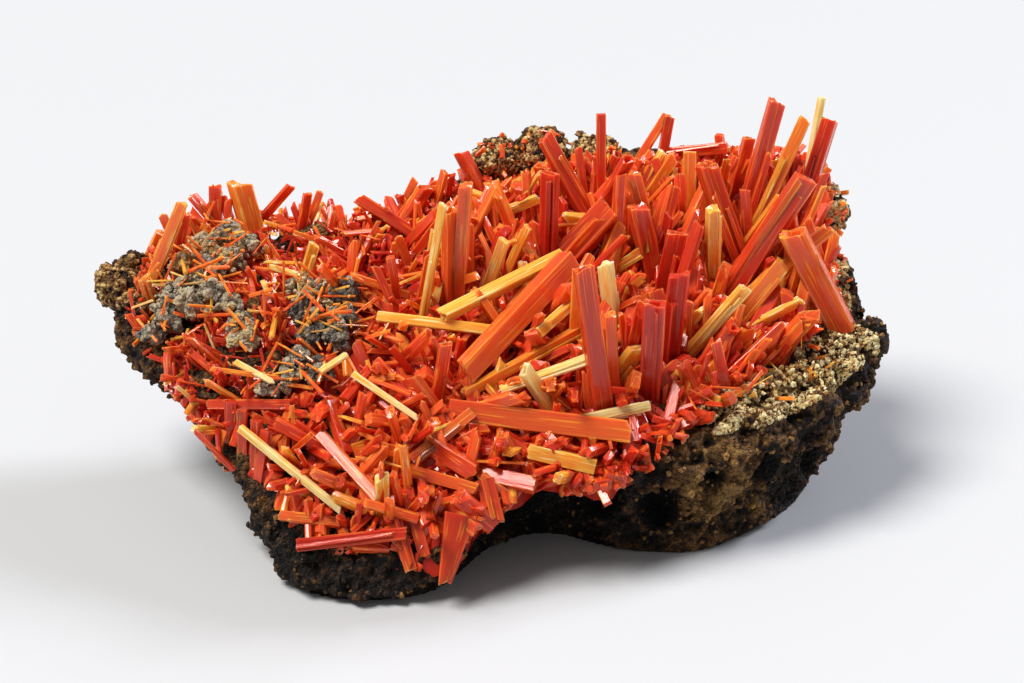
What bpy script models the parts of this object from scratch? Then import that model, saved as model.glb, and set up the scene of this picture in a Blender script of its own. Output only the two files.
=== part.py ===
"""A crocoite specimen: jackstraw orange-red prisms on a loose piece of gossan.

Run with: blender --background --python part.py
Lengths are written in millimetres and turned into metres where a mesh is made.
"""

import math
import random

import bmesh
import bpy
import numpy as np
from mathutils import Matrix, Vector, noise

MM = 0.001
SEED = 22

# Driving dimensions
GAP = 0.3
SPECIMEN_MIDDLE = Vector((-1.23, -0.39, 0.0))
DRUSE_THICKNESS = 1.5
DRUSE_SINK = 0.9
DRUSE_ROUGHNESS = 0.6
DRUSE_GRAIN = 1.7
DRUSE_EDGE_SHARE = 0.2
DRUSE_TOP_RINGS = (0.3, 0.55, 0.8, 0.98)
DRUSE_UNDER_RINGS = (0.97, 0.7, 0.4)
ROOT_DEPTH = 1.6
STAND_RAISE = 0.8
FAN_OUT = 0.0012
FLAT_ANGLE = math.radians(0.05)

# The viewpoint that the crystals' ends were read from: its place, tilt and focal length in pixels
EYE = Vector((0.55, -169.90, 97.52))
EYE_PITCH = math.radians(26.53)
EYE_ROLL = math.radians(2.03)
EYE_FOCAL = 2355.4
EYE_CENTRE = (512.0, 341.5)

# Where a line of sight starts above the specimen, and the steps that it is followed in
START_HEIGHT = 45.0
FIRST_STEP = 0.8
FINEST_STEP = 0.01

# Heights of the rock's upper surface at places read across it: x, y, z
SURFACE_HEIGHTS = [
    (-33, 4, 14.6), (-28, 7, 16.4), (-20, 8, 17.2), (-13, 11, 17.0), (-7, 14, 19.0),
    (-1, 18, 21.0), (6, 19, 21.5), (16, 18, 21.5), (26, 14, 19.5), (28, 8, 15.0),
    (-30, -3, 11.8), (-23, -10, 9.0), (-12, -6, 12.0), (-5, 4, 16.0), (0, -8, 11.5),
    (6, 5, 17.0), (12, -6, 12.0), (16, 5, 16.5), (20, -8, 10.0), (27, -2, 11.2),
    (-17, -15, 6.5), (-8, -17, 5.0), (-1, -17, 5.5), (5, -13, 8.0), (10, -12, 9.0),
]
SURFACE_SPAN = (30.0, 20.0)
SLOPE_STEP = 0.5

# The rock's outline in plan, and its flat foot at the same bearings
ROCK_OUTLINE = [
    (31.2, 2.8), (28.6, -2.2), (24.8, -5.6), (20.2, -9.2), (15.6, -11.6), (10.2, -12.4),
    (5.2, -12.4), (0.0, -14.2), (-4.6, -18.6), (-10.6, -20.4), (-16.0, -18.2),
    (-19.2, -14.2), (-23.0, -9.6), (-27.4, -4.6), (-30.8, -0.6), (-32.8, 3.6),
    (-31.4, 6.6), (-27.0, 8.8), (-20.0, 10.2), (-13.0, 11.4), (-8.0, 14.8),
    (-1.0, 18.8), (6.6, 20.0), (15.6, 19.8), (23.6, 17.8), (27.6, 14.0), (28.2, 8.6),
]
ROCK_FOOT = [
    (25.6, 2.2), (24.2, -2.4), (22.0, -5.2), (18.4, -8.8), (14.8, -10.8), (9.4, -10.6),
    (4.0, -8.6), (-0.5, -11.0), (-4.6, -17.6), (-10.6, -19.4), (-15.2, -17.8),
    (-17.0, -12.4), (-16.8, -7.2), (-17.2, -2.9), (-17.4, -0.4), (-17.6, 1.8),
    (-17.0, 3.6), (-15.6, 5.2), (-13.4, 7.2), (-10.0, 9.4), (-6.2, 11.6),
    (-0.8, 14.2), (5.0, 15.4), (12.2, 15.2), (18.2, 13.4), (22.0, 10.6), (23.8, 6.8),
]
STEPS_PER_SIDE = 2
TOP_RINGS = (0.50, 0.90)
HIDDEN_SHARE = 0.7
# Rings closer in than the hidden share keep the plain surface, because the druse covers them.
# Each wall ring: its share of the way out from foot to rim, and its share of the rim's height
WALL_RINGS = ((0.86, 0.80), (0.52, 0.54), (0.24, 0.28), (0.06, 0.08))
FOOT_RINGS = (0.5,)
ROUGHNESS = ((7.0, 1.5), (3.0, 0.7))
TOP_ROUGHNESS = 0.45
ROUGHNESS_SHIFTS = (Vector((9.3, 0, 0)), Vector((0, 4.7, 0)), Vector((0, 0, 7.9)))
EDGE_ROUNDING = 0.9

# Lumps grown on the rock's prongs and rim: x, y, height above the surface, radius
ROCK_LUMPS = [
    (-32.0, 4.2, -0.6, 1.9), (-30.0, 1.0, -0.6, 1.6), (-30.6, 6.4, -0.4, 1.6),
    (29.8, 3.4, -0.9, 1.7), (27.8, 0.0, -0.9, 1.6), (27.4, 7.6, -0.2, 1.6),
    (25.0, -4.2, -1.0, 1.5), (26.2, 13.6, 0.2, 2.1),
    (-1.4, 17.4, 0.6, 2.2), (2.6, 18.0, 0.5, 2.3), (7.0, 18.6, 0.0, 2.0),
]

# Pits eaten into the rock's bare side: x, y, z, radius
ROCK_PITS = [
    (21.4, -8.6, 6.2, 1.4), (16.8, -11.4, 6.4, 1.3), (12.6, -12.2, 4.2, 1.9),
    (25.8, -4.0, 4.6, 1.5), (7.0, -11.6, 4.8, 2.2), (1.8, -12.4, 3.8, 2.4),
]

# Where crystals carpet the top, in plan
CARPET_OUTLINE = [
    (28.2, 9.5), (26.6, 4.5), (23.7, -0.1), (21.4, -1.8), (18.2, -5.7), (15.2, -8.0),
    (12.2, -12.1), (9.1, -14.2), (4.6, -14.8), (1.4, -15.4), (-0.8, -17.4), (-4.4, -20.0),
    (-7.4, -19.8), (-11.0, -18.8), (-14.6, -17.2), (-17.4, -14.8), (-20.8, -13.2),
    (-24.4, -9.8), (-27.8, -5.2), (-30.4, -1.4), (-31.0, 3.4), (-29.7, 7.4), (-25.4, 9.6),
    (-17.5, 9.8), (-12.5, 10.4), (-7.4, 13.4), (-1.6, 15.8), (5.0, 16.8), (12.0, 18.4),
    (18.0, 18.6), (24.0, 17.0), (28.0, 13.6),
]

CARPET_WIDTH = (-31, 29)
CARPET_DEPTH = (-20, 19)

# Lumps of granular crust: pixel, radius, height of the centre above the surface
LEFT_CRUST = [
    ((190, 266), 1.50, 1.1), ((207, 250), 1.50, 1.2), ((228, 240), 1.50, 1.2),
    ((248, 251), 1.50, 1.2), ((230, 262), 1.45, 1.1), ((211, 273), 1.45, 1.1),
    ((192, 288), 1.55, 1.1), ((214, 295), 1.55, 1.1), ((171, 304), 1.45, 0.8),
    ((192, 310), 1.45, 1.0), ((229, 309), 1.35, 1.1), ((169, 324), 1.35, 0.8),
    ((152, 336), 1.25, 0.5), ((240, 326), 1.30, 1.0), ((243, 342), 1.20, 0.9),
]
MIDDLE_CRUST = [
    ((301, 292), 1.50, 1.3), ((322, 296), 1.50, 1.5), ((346, 297), 1.55, 1.6),
    ((303, 315), 1.45, 1.2), ((325, 316), 1.45, 1.4), ((345, 318), 1.35, 1.3),
    ((315, 336), 1.45, 1.1), ((336, 337), 1.35, 1.2),
]
LOWER_CRUST = [
    ((302, 369), 1.50, 1.0), ((320, 378), 1.35, 1.0), ((289, 380), 1.30, 0.8),
    ((268, 391), 1.25, 0.6),
]
RIM_CRUST = [
    ((706, 410), 1.20, 0.3), ((725, 404), 1.25, 0.3), ((745, 397), 1.25, 0.3),
    ((766, 390), 1.30, 0.3), ((786, 382), 1.30, 0.3), ((806, 372), 1.35, 0.4),
    ((825, 360), 1.40, 0.4), ((844, 348), 1.35, 0.3), ((822, 380), 1.15, 0.1),
]

# Standing crystals: the tip's pixel, the foot's pixel, width
STANDING = [
    # the spires and blades of the high right side
    ((601, 113), (601, 200), 0.80), ((668, 113), (641, 156), 0.75), ((670, 115), (662, 157), 0.9),
    ((664, 150), (645, 184), 0.75), ((675, 155), (652, 190), 1.0), ((632, 170), (650, 235), 1.3),
    ((690, 150), (690, 205), 1.1), ((719, 133), (722, 160), 0.75), ((750, 135), (735, 190), 1.1),
    ((778, 98), (745, 215), 1.45), ((806, 117), (757, 225), 1.1), ((822, 96), (805, 190), 0.8),
    ((831, 117), (800, 215), 1.3), ((808, 175), (735, 285), 1.9), ((782, 195), (742, 250), 0.8),
    ((745, 188), (748, 240), 0.9), ((637, 203), (652, 270), 1.7), ((678, 230), (665, 290), 1.7),
    ((713, 205), (712, 272), 1.1), ((705, 162), (735, 250), 1.7), ((790, 228), (835, 315), 2.1),
    ((805, 218), (820, 262), 0.95), ((785, 262), (745, 312), 1.4), ((803, 299), (755, 325), 0.8),
    ((748, 285), (693, 348), 1.05), ((605, 260), (614, 380), 1.4), ((650, 245), (612, 270), 0.8),
    ((645, 277), (617, 300), 0.7), ((640, 345), (620, 372), 1.3), ((690, 300), (690, 340), 0.7),
    ((655, 300), (650, 390), 2.3), ((680, 270), (670, 350), 1.7), ((715, 340), (725, 385), 0.95),
    # the middle of the thicket
    ((416, 178), (403, 205), 0.7), ((445, 170), (437, 200), 0.7), ((460, 150), (480, 188), 1.1),
    ((466, 182), (458, 300), 1.1), ((443, 203), (424, 312), 0.7), ((450, 207), (450, 300), 1.2),
    ((505, 238), (487, 290), 0.9), ((529, 225), (505, 278), 0.7), ((543, 134), (588, 216), 1.45),
    ((550, 170), (548, 260), 1.6), ((613, 206), (562, 262), 2.2), ((578, 146), (585, 200), 0.7),
    ((583, 265), (603, 408), 1.6), ((523, 367), (548, 405), 1.1), ((446, 342), (437, 400), 1.0),
    # the sprays along the left edge
    ((161, 212), (170, 232), 0.75), ((183, 201), (152, 278), 1.1), ((186, 212), (178, 250), 0.8),
    ((190, 193), (213, 220), 0.9), ((215, 182), (216, 220), 1.1), ((238, 179), (250, 222), 1.8),
    ((292, 185), (268, 212), 0.75), ((143, 275), (150, 298), 0.95), ((308, 192), (302, 226), 0.75),
    ((321, 190), (312, 214), 0.7), ((315, 242), (306, 272), 0.9), ((356, 197), (405, 228), 0.95),
    ((397, 235), (407, 260), 0.75), ((390, 255), (397, 295), 0.7),
]

# Crystals that lie on the slope: the tip's pixel, the foot's pixel, width, raise at tip and foot
LYING = [
    ((731, 147), (683, 152), 1.0, 2.6, 1.2), ((541, 197), (493, 217), 0.8, 4.0, 2.0),
    ((438, 317), (546, 264), 1.1, 3.2, 4.2), ((462, 375), (558, 273), 1.8, 3.0, 4.4),
    ((376, 316), (487, 330), 0.85, 2.4, 2.4), ((533, 338), (575, 300), 0.95, 4.0, 3.6),
    ((462, 395), (580, 330), 0.85, 2.2, 3.0), ((603, 352), (520, 383), 0.8, 4.2, 2.4),
    ((632, 432), (470, 412), 1.7, 2.2, 1.6), ((475, 411), (428, 448), 0.95, 2.2, 1.4),
    ((652, 405), (583, 420), 0.8, 2.2, 1.4), ((525, 450), (575, 462), 1.2, 1.6, 1.4),
    ((205, 405), (270, 405), 0.8, 1.2, 1.0), ((278, 515), (320, 520), 0.8, 1.4, 1.0),
    ((408, 533), (318, 543), 1.2, 2.0, 1.2), ((380, 500), (333, 448), 0.95, 1.8, 1.2),
    ((480, 475), (440, 450), 1.5, 1.8, 1.2), ((480, 490), (418, 473), 0.95, 1.8, 1.2),
    ((328, 400), (340, 435), 0.95, 1.6, 1.2),
]

# Crystals that hang over the front edge: the tip's pixel, the foot's pixel, width, reach forward
HANGING = [
    ((443, 588), (455, 535), 2.4, 2.0), ((426, 560), (413, 510), 1.0, 2.2),
    ((412, 572), (402, 540), 1.0, 1.4), ((480, 533), (450, 510), 1.1, 2.0),
    ((538, 486), (500, 478), 1.2, 1.0), ((497, 526), (490, 500), 1.4, 1.2),
    ((228, 472), (230, 420), 0.8, 0.6), ((243, 480), (242, 430), 0.8, 0.8),
    ((254, 490), (256, 440), 0.8, 0.8), ((255, 503), (263, 450), 0.8, 1.0),
]

# Loose needles, each a piece of its own, lying across the thicket: ends' pixels, width, raises
LOOSE_NEEDLES = {
    "loose_needle_front": ((240, 428), (342, 511), 0.62, 2.1, 2.1),
    "loose_needle_left": ((235, 362), (276, 384), 0.55, 2.3, 2.3),
    "loose_needle_middle": ((353, 374), (420, 420), 0.55, 2.4, 2.4),
    "loose_needle_crust": ((320, 372), (349, 353), 0.50, 3.0, 3.0),
}

# Small crystals that fill the thicket between those above
FILLER_COUNT = 31
FILLER_SPACING = 3.0
FILLER_MARGIN = 1.12
FILLER_WIDTH = (0.9, 1.5)
FILLER_LENGTH_FRONT = (2.4, 3.8)
FILLER_LENGTH_MIDDLE = (4.0, 8.0)
FILLER_MIDDLE = (6.0, 4.0)
FILLER_SPREAD = (17.0, 11.0)
FILLER_LEAN = 0.8
FILLER_DISORDER = 0.35

# The least and greatest share of its width by which a prism is flattened and slants at its end
PRISM_FLATTENING = (0.75, 1.0)
PRISM_SLANT = (0.8, 0.5)
NEEDLE_FLATTENING = 0.9
NEEDLE_SLANT = 0.5
NEEDLE_TURN = 0.4
LUMP_SQUASH = (0.7, 0.95)
ROCK_LUMP_SQUASH = 0.8
ROCK_PIT_SQUASH = 0.9

# Colours, roughness and metallic value of each material
MATERIALS = {
    "gossan": ((0.16, 0.095, 0.045), 0.92, 0.0),
    "crocoite": ((0.72, 0.10, 0.03), 0.22, 0.0),
    "crocoite_pale": ((0.90, 0.50, 0.18), 0.20, 0.0),
    "grey_crust": ((0.24, 0.23, 0.17), 0.88, 0.0),
    "cream_crust": ((0.48, 0.40, 0.20), 0.85, 0.0),
}


def eye_ray(pixel):
    """The direction from the viewpoint through a pixel."""
    forward = Vector((0, math.cos(EYE_PITCH), -math.sin(EYE_PITCH)))
    level_up = Vector((0, math.sin(EYE_PITCH), math.cos(EYE_PITCH)))
    level_right = Vector((1, 0, 0))
    right = level_right * math.cos(EYE_ROLL) + level_up * math.sin(EYE_ROLL)
    up = level_up * math.cos(EYE_ROLL) - level_right * math.sin(EYE_ROLL)
    across = pixel[0] - EYE_CENTRE[0]
    down = pixel[1] - EYE_CENTRE[1]
    return (forward * EYE_FOCAL + right * across - up * down).normalized()


def surface_terms(x, y):
    """The terms of the smooth surface through SURFACE_HEIGHTS."""
    x, y = x / SURFACE_SPAN[0], y / SURFACE_SPAN[1]
    return [1, x, y, x * x, x * y, y * y, x * x * y, x * y * y, y * y * y]


SURFACE_FIT = np.linalg.lstsq(
    np.array([surface_terms(x, y) for x, y, z in SURFACE_HEIGHTS]),
    np.array([z for x, y, z in SURFACE_HEIGHTS]),
    rcond=None,
)[0]


def surface_height(x, y):
    """The height of the rock's upper surface."""
    return float(np.dot(surface_terms(x, y), SURFACE_FIT))


def surface_normal(x, y):
    """The upward normal of the rock's upper surface."""
    step = SLOPE_STEP
    slope_x = (surface_height(x + step, y) - surface_height(x - step, y)) / (2 * step)
    slope_y = (surface_height(x, y + step) - surface_height(x, y - step)) / (2 * step)
    return Vector((-slope_x, -slope_y, 1)).normalized()


def on_surface(pixel, raise_by):
    """Where the line of sight through a pixel meets the surface raised by a height."""
    step = FIRST_STEP
    ray = eye_ray(pixel)
    travel = (START_HEIGHT - EYE.z) / ray.z
    while step > FINEST_STEP:
        place = EYE + ray * (travel + step)
        if place.z <= surface_height(place.x, place.y) + raise_by:
            step /= 2
        else:
            travel += step
    return EYE + ray * travel


def at_depth(pixel, y):
    """Where the line of sight through a pixel meets a depth plane."""
    ray = eye_ray(pixel)
    return EYE + ray * ((y - EYE.y) / ray.y)


def to_metres(point):
    return (point - SPECIMEN_MIDDLE) * MM


def smooth_loop(points, steps):
    """A closed Catmull-Rom curve through plan points, as a list of more points."""
    made = []
    count = len(points)
    for i in range(count):
        a, b, c, d = (Vector(points[(i + k - 1) % count]) for k in range(4))
        for step in range(steps):
            t = step / steps
            bend = (2 * a - 5 * b + 4 * c - d) * t * t + (3 * b - a - 3 * c + d) * t * t * t
            made.append(0.5 * (2 * b + (c - a) * t + bend))
    return made


def mesh_object(name, mesh, material):
    shape = bpy.data.objects.new(name, mesh)
    bpy.context.scene.collection.objects.link(shape)
    if material:
        mesh.materials.clear()
        mesh.materials.append(bpy.data.materials[material])
    return shape


def mesh_from(name, corners, faces):
    mesh = bpy.data.meshes.new(name)
    mesh.from_pydata([to_metres(c) for c in corners], [], faces)
    mesh.update()
    return mesh


def ring_stack(rings, top, bottom):
    """A closed mesh from rings listed from the top's middle to the foot's middle."""
    corners = [top]
    for ring in rings:
        corners.extend(ring)
    corners.append(bottom)
    count = len(rings[0])
    faces = []
    for i in range(count):
        j = (i + 1) % count
        faces.append((0, 1 + j, 1 + i))
        for level in range(len(rings) - 1):
            upper = 1 + level * count
            lower = upper + count
            faces.append((upper + i, upper + j, lower + j, lower + i))
        last = 1 + (len(rings) - 1) * count
        faces.append((last + i, last + j, len(corners) - 1))
    return corners, faces


def rough_offset(point):
    """A small displacement that makes the rock uneven."""
    offset = Vector((0, 0, 0))
    for size, height in ROUGHNESS:
        for axis, shift in enumerate(ROUGHNESS_SHIFTS):
            offset[axis] += noise.noise(point / size + shift) * height
    return offset


def rock_mesh(name, grow):
    """The gossan block, with its skin moved outward by grow."""
    rim = smooth_loop(ROCK_OUTLINE, STEPS_PER_SIDE)
    foot = smooth_loop(ROCK_FOOT, STEPS_PER_SIDE)
    rings = []
    for share in TOP_RINGS + (1.0,):
        drop = EDGE_ROUNDING if share == 1.0 else 0.0
        ring = [Vector((p.x * share, p.y * share, 0)) for p in rim]
        for p in ring:
            p.z = surface_height(p.x, p.y) - drop
            if share > HIDDEN_SHARE:
                p += rough_offset(p) * TOP_ROUGHNESS
        rings.append(ring)
    for out, up in WALL_RINGS:
        ring = []
        for r, f in zip(rim, foot):
            flat = f.lerp(r, out)
            p = Vector((flat.x, flat.y, (surface_height(r.x, r.y) - EDGE_ROUNDING) * up))
            ring.append(p + rough_offset(p) * min(1.0, 2 * up))
        rings.append(ring)
    for share in (1.0,) + FOOT_RINGS:
        rings.append([Vector((p.x * share, p.y * share, 0)) for p in foot])
    corners, faces = ring_stack(rings, Vector((0, 0, surface_height(0, 0))), Vector((0, 0, 0)))
    mesh = mesh_from(name, corners, faces)
    if grow:
        normals = [v.normal.copy() for v in mesh.vertices]
        for vertex, normal in zip(mesh.vertices, normals):
            vertex.co += normal * grow * MM
    return mesh


def druse_mesh(name):
    """The crust of grown-together crystal bases that the prisms stand on."""
    edge = [Vector(p) for p in CARPET_OUTLINE]
    rings = []
    for share in DRUSE_TOP_RINGS:
        ring = [Vector((p.x * share, p.y * share, 0)) for p in edge]
        for p in ring:
            p.z = surface_height(p.x, p.y) + DRUSE_THICKNESS
            p += rough_offset(p * DRUSE_GRAIN) * DRUSE_ROUGHNESS
        rings.append(ring)
    lift = DRUSE_EDGE_SHARE * DRUSE_THICKNESS
    rim = [Vector((p.x, p.y, surface_height(p.x, p.y) + lift)) for p in edge]
    rings.append([p + rough_offset(p * DRUSE_GRAIN) * DRUSE_ROUGHNESS for p in rim])
    for share in DRUSE_UNDER_RINGS:
        ring = [Vector((p.x * share, p.y * share, 0)) for p in edge]
        for p in ring:
            p.z = surface_height(p.x, p.y) - DRUSE_SINK
        rings.append(ring)
    middle = surface_height(0, 0)
    top = Vector((0, 0, middle + DRUSE_THICKNESS))
    corners, faces = ring_stack(rings, top, Vector((0, 0, middle - DRUSE_SINK)))
    return mesh_from(name, corners, faces)


def lump_mesh(name, centre, radius, squash, turn):
    """A low-sided rounded lump."""
    shape = bmesh.new()
    bmesh.ops.create_icosphere(shape, subdivisions=1, radius=radius * MM)
    flatten = Matrix.Diagonal(Vector((1, 1, squash, 1)))
    place = Matrix.Translation(to_metres(centre))
    shape.transform(place @ flatten @ Matrix.Rotation(turn, 4, Vector((1, 2, 3)).normalized()))
    mesh = bpy.data.meshes.new(name)
    shape.to_mesh(mesh)
    shape.free()
    return mesh


def prism_mesh(name, foot, tip, width, depth, turn, slant):
    """A four-sided crystal from foot to tip, cut off at a slant."""
    axis = (tip - foot).normalized()
    side = axis.orthogonal().normalized()
    side.rotate(Matrix.Rotation(turn, 3, axis))
    other = axis.cross(side)
    corners = []
    for u, v in ((1, 1), (-1, 1), (-1, -1), (1, -1)):
        corners.append(foot + side * (u * width / 2) + other * (v * depth / 2))
    for u, v in ((1, 1), (-1, 1), (-1, -1), (1, -1)):
        back = (u + 1) / 2 * slant[0] + (v + 1) / 2 * slant[1]
        corners.append(tip - axis * back + side * (u * width / 2) + other * (v * depth / 2))
    faces = [(3, 2, 1, 0), (4, 5, 6, 7)]
    faces += [(i, (i + 1) % 4, (i + 1) % 4 + 4, i + 4) for i in range(4)]
    return mesh_from(name, corners, faces)


def triangulated(mesh):
    """The mesh with every face cut into triangles, which are always flat."""
    shape = bmesh.new()
    shape.from_mesh(mesh)
    bmesh.ops.triangulate(shape, faces=shape.faces[:])
    shape.to_mesh(mesh)
    shape.free()
    return mesh


def with_boolean(mesh, operation, others):
    """The mesh after a Boolean with several others."""
    for operand in [mesh] + others:
        triangulated(operand)
    body = mesh_object("body", mesh, None)
    group = bpy.data.collections.new("operands")
    for other in others:
        group.objects.link(bpy.data.objects.new("operand", other))
    step = body.modifiers.new("boolean", "BOOLEAN")
    step.operation = operation
    step.solver = "EXACT"
    step.operand_type = "COLLECTION"
    step.collection = group
    step.use_self = operation == "UNION"
    bpy.context.view_layer.update()
    seen = body.evaluated_get(bpy.context.evaluated_depsgraph_get())
    made = bpy.data.meshes.new_from_object(seen)
    for helper in [body] + list(group.objects):
        bpy.data.objects.remove(helper)
    bpy.data.collections.remove(group)
    return made


def one_body(mesh):
    """The mesh with only its largest part whose faces meet edge to edge."""
    shape = bmesh.new()
    shape.from_mesh(mesh)
    unseen = set(shape.faces)
    parts = []
    while unseen:
        part = []
        front = [unseen.pop()]
        while front:
            face = front.pop()
            part.append(face)
            for edge in face.edges:
                for far in edge.link_faces:
                    if far in unseen:
                        unseen.remove(far)
                        front.append(far)
        parts.append(part)
    parts.sort(key=len)
    for part in parts[:-1]:
        bmesh.ops.delete(shape, geom=part, context="FACES")
    bmesh.ops.dissolve_limit(
        shape, angle_limit=FLAT_ANGLE, verts=shape.verts[:], edges=shape.edges[:]
    )
    bmesh.ops.triangulate(shape, faces=shape.faces[:])
    shape.to_mesh(mesh)
    shape.free()
    return mesh


def inside(point, outline):
    """Whether a plan point lies within an outline."""
    hit = False
    for i, a in enumerate(outline):
        b = outline[i - 1]
        if (a[1] > point[1]) != (b[1] > point[1]):
            if point[0] < (b[0] - a[0]) * (point[1] - a[1]) / (b[1] - a[1]) + a[0]:
                hit = not hit
    return hit


def crystal_ends():
    """Foot, tip and width of every crystal read from the specimen."""
    ends = []
    for tip_pixel, foot_pixel, width in STANDING:
        foot = on_surface(foot_pixel, STAND_RAISE)
        length = (Vector(tip_pixel) - Vector(foot_pixel)).length
        tip = at_depth(tip_pixel, foot.y * (1 + FAN_OUT * length))
        ends.append((foot, tip, width))
    for tip_pixel, foot_pixel, width, tip_raise, foot_raise in LYING:
        ends.append((on_surface(foot_pixel, foot_raise), on_surface(tip_pixel, tip_raise), width))
    for tip_pixel, foot_pixel, width, reach in HANGING:
        foot = on_surface(foot_pixel, STAND_RAISE)
        ends.append((foot, at_depth(tip_pixel, foot.y - reach), width))
    return ends


def filler_ends(rng):
    """Foot, tip and width of small crystals spread over the carpet."""
    spots = []
    while len(spots) < FILLER_COUNT:
        spot = Vector((rng.uniform(*CARPET_WIDTH), rng.uniform(*CARPET_DEPTH)))
        if not inside(spot * FILLER_MARGIN, CARPET_OUTLINE):
            continue
        if any((spot - other).length < FILLER_SPACING for other in spots):
            continue
        spots.append(spot)
    ends = []
    for spot in spots:
        off = [(spot[i] - FILLER_MIDDLE[i]) / FILLER_SPREAD[i] for i in range(2)]
        tall = max(0.0, 1 - off[0] ** 2 - off[1] ** 2)
        low, high = (
            short + (long - short) * tall
            for short, long in zip(FILLER_LENGTH_FRONT, FILLER_LENGTH_MIDDLE)
        )
        foot = Vector((spot.x, spot.y, surface_height(spot.x, spot.y) + STAND_RAISE))
        outward = Vector((spot.x / SURFACE_SPAN[0], spot.y / SURFACE_SPAN[1], 0))
        way = surface_normal(spot.x, spot.y) + outward * FILLER_LEAN
        way += Vector((rng.gauss(0, FILLER_DISORDER), rng.gauss(0, FILLER_DISORDER), 0))
        tip = foot + way.normalized() * rng.uniform(low, high)
        ends.append((foot, tip, rng.uniform(*FILLER_WIDTH)))
    return ends


def crystal_prisms(rng):
    """A prism mesh for each crystal of the thicket."""
    made = []
    for i, (foot, tip, width) in enumerate(crystal_ends() + filler_ends(rng)):
        root = foot - (tip - foot).normalized() * ROOT_DEPTH
        depth = width * rng.uniform(*PRISM_FLATTENING)
        slant = tuple(width * rng.uniform(0.0, most) for most in PRISM_SLANT)
        turn = rng.uniform(0, math.pi)
        made.append(prism_mesh(f"prism_{i}", root, tip, width, depth, turn, slant))
    return made


def crust_lumps(name, lumps, grow, rng):
    """The lumps of one patch of crust, each made larger by grow."""
    made = []
    for i, (pixel, radius, raise_by) in enumerate(lumps):
        centre = on_surface(pixel, raise_by)
        squash = rng.uniform(*LUMP_SQUASH)
        turn = rng.uniform(0, math.pi)
        made.append(lump_mesh(f"{name}_{i}", centre, radius + grow, squash, turn))
    return made


def loose_needle(name, grow):
    """A slim prism that lies across the thicket."""
    start_pixel, end_pixel, width, start_raise, end_raise = LOOSE_NEEDLES[name]
    start = on_surface(start_pixel, start_raise)
    end = on_surface(end_pixel, end_raise)
    along = (end - start).normalized() * grow
    thick = width + 2 * grow
    slant = (0.0, 0.0) if grow else (width * NEEDLE_SLANT, 0.0)
    depth = thick * NEEDLE_FLATTENING
    return prism_mesh(name, start - along, end + along, thick, depth, NEEDLE_TURN, slant)


def make_materials():
    for name, (colour, roughness, metallic) in MATERIALS.items():
        material = bpy.data.materials.new(name)
        material.use_nodes = True
        shader = material.node_tree.nodes["Principled BSDF"]
        shader.inputs["Base Color"].default_value = (*colour, 1.0)
        shader.inputs["Roughness"].default_value = roughness
        shader.inputs["Metallic"].default_value = metallic
        material.diffuse_color = (*colour, 1.0)


def rock_lumps(grow):
    """The lumps on the rock, each made larger by grow."""
    made = []
    for x, y, above, radius in ROCK_LUMPS:
        centre = Vector((x, y, surface_height(x, y) + above))
        made.append(lump_mesh("lump", centre, radius + grow, ROCK_LUMP_SQUASH, x))
    return made


def make_rock():
    pits = [
        lump_mesh("pit", Vector((x, y, z)), radius, ROCK_PIT_SQUASH, x)
        for x, y, z, radius in ROCK_PITS
    ]
    rock = with_boolean(rock_mesh("rock", 0.0), "UNION", rock_lumps(0.0))
    rock = with_boolean(rock, "DIFFERENCE", pits)
    mesh_object("gossan_matrix", one_body(rock), "gossan")


def grown_rock():
    """The rock made larger by the gap, to cut what lies on it."""
    return with_boolean(rock_mesh("rock", GAP), "UNION", rock_lumps(GAP))


def make_crust(name, lumps, material):
    made = crust_lumps(name, lumps, 0.0, random.Random(name))
    crust = with_boolean(made[0], "UNION", made[1:])
    crust = with_boolean(crust, "DIFFERENCE", [grown_rock()])
    mesh_object(name, one_body(crust), material)


def make_thicket():
    prisms = crystal_prisms(random.Random(SEED))
    thicket = with_boolean(druse_mesh("druse"), "UNION", prisms)
    thicket = with_boolean(thicket, "DIFFERENCE", [grown_rock()])
    for name, (lumps, _) in CRUSTS.items():
        grown = crust_lumps(name, lumps, GAP, random.Random(name))
        grown = with_boolean(grown[0], "UNION", grown[1:])
        thicket = with_boolean(thicket, "DIFFERENCE", [grown])
    needles = [loose_needle(name, GAP) for name in LOOSE_NEEDLES]
    thicket = with_boolean(thicket, "DIFFERENCE", needles)
    mesh_object("crocoite_thicket", one_body(thicket), "crocoite")


CRUSTS = {
    "grey_crust_left": (LEFT_CRUST, "grey_crust"),
    "grey_crust_middle": (MIDDLE_CRUST, "grey_crust"),
    "grey_crust_lower": (LOWER_CRUST, "grey_crust"),
    "cream_crust_rim": (RIM_CRUST, "cream_crust"),
}


def main():
    for old in list(bpy.data.objects):
        bpy.data.objects.remove(old)
    make_materials()
    make_rock()
    for name, (lumps, material) in CRUSTS.items():
        make_crust(name, lumps, material)
    for name in LOOSE_NEEDLES:
        mesh_object(name, loose_needle(name, 0.0), "crocoite_pale")
    make_thicket()


main()
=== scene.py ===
"""How the crocoite specimen looks: striated orange-red prisms on pitted brown gossan.

Lengths are written in millimetres in the frame that the specimen was read in, and turned into
metres about the middle of the specimen where a mesh is made.
"""

import math
import random

import bmesh
import bpy
import numpy as np
from mathutils import Matrix, Vector, noise
from mathutils.bvhtree import BVHTree


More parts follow.
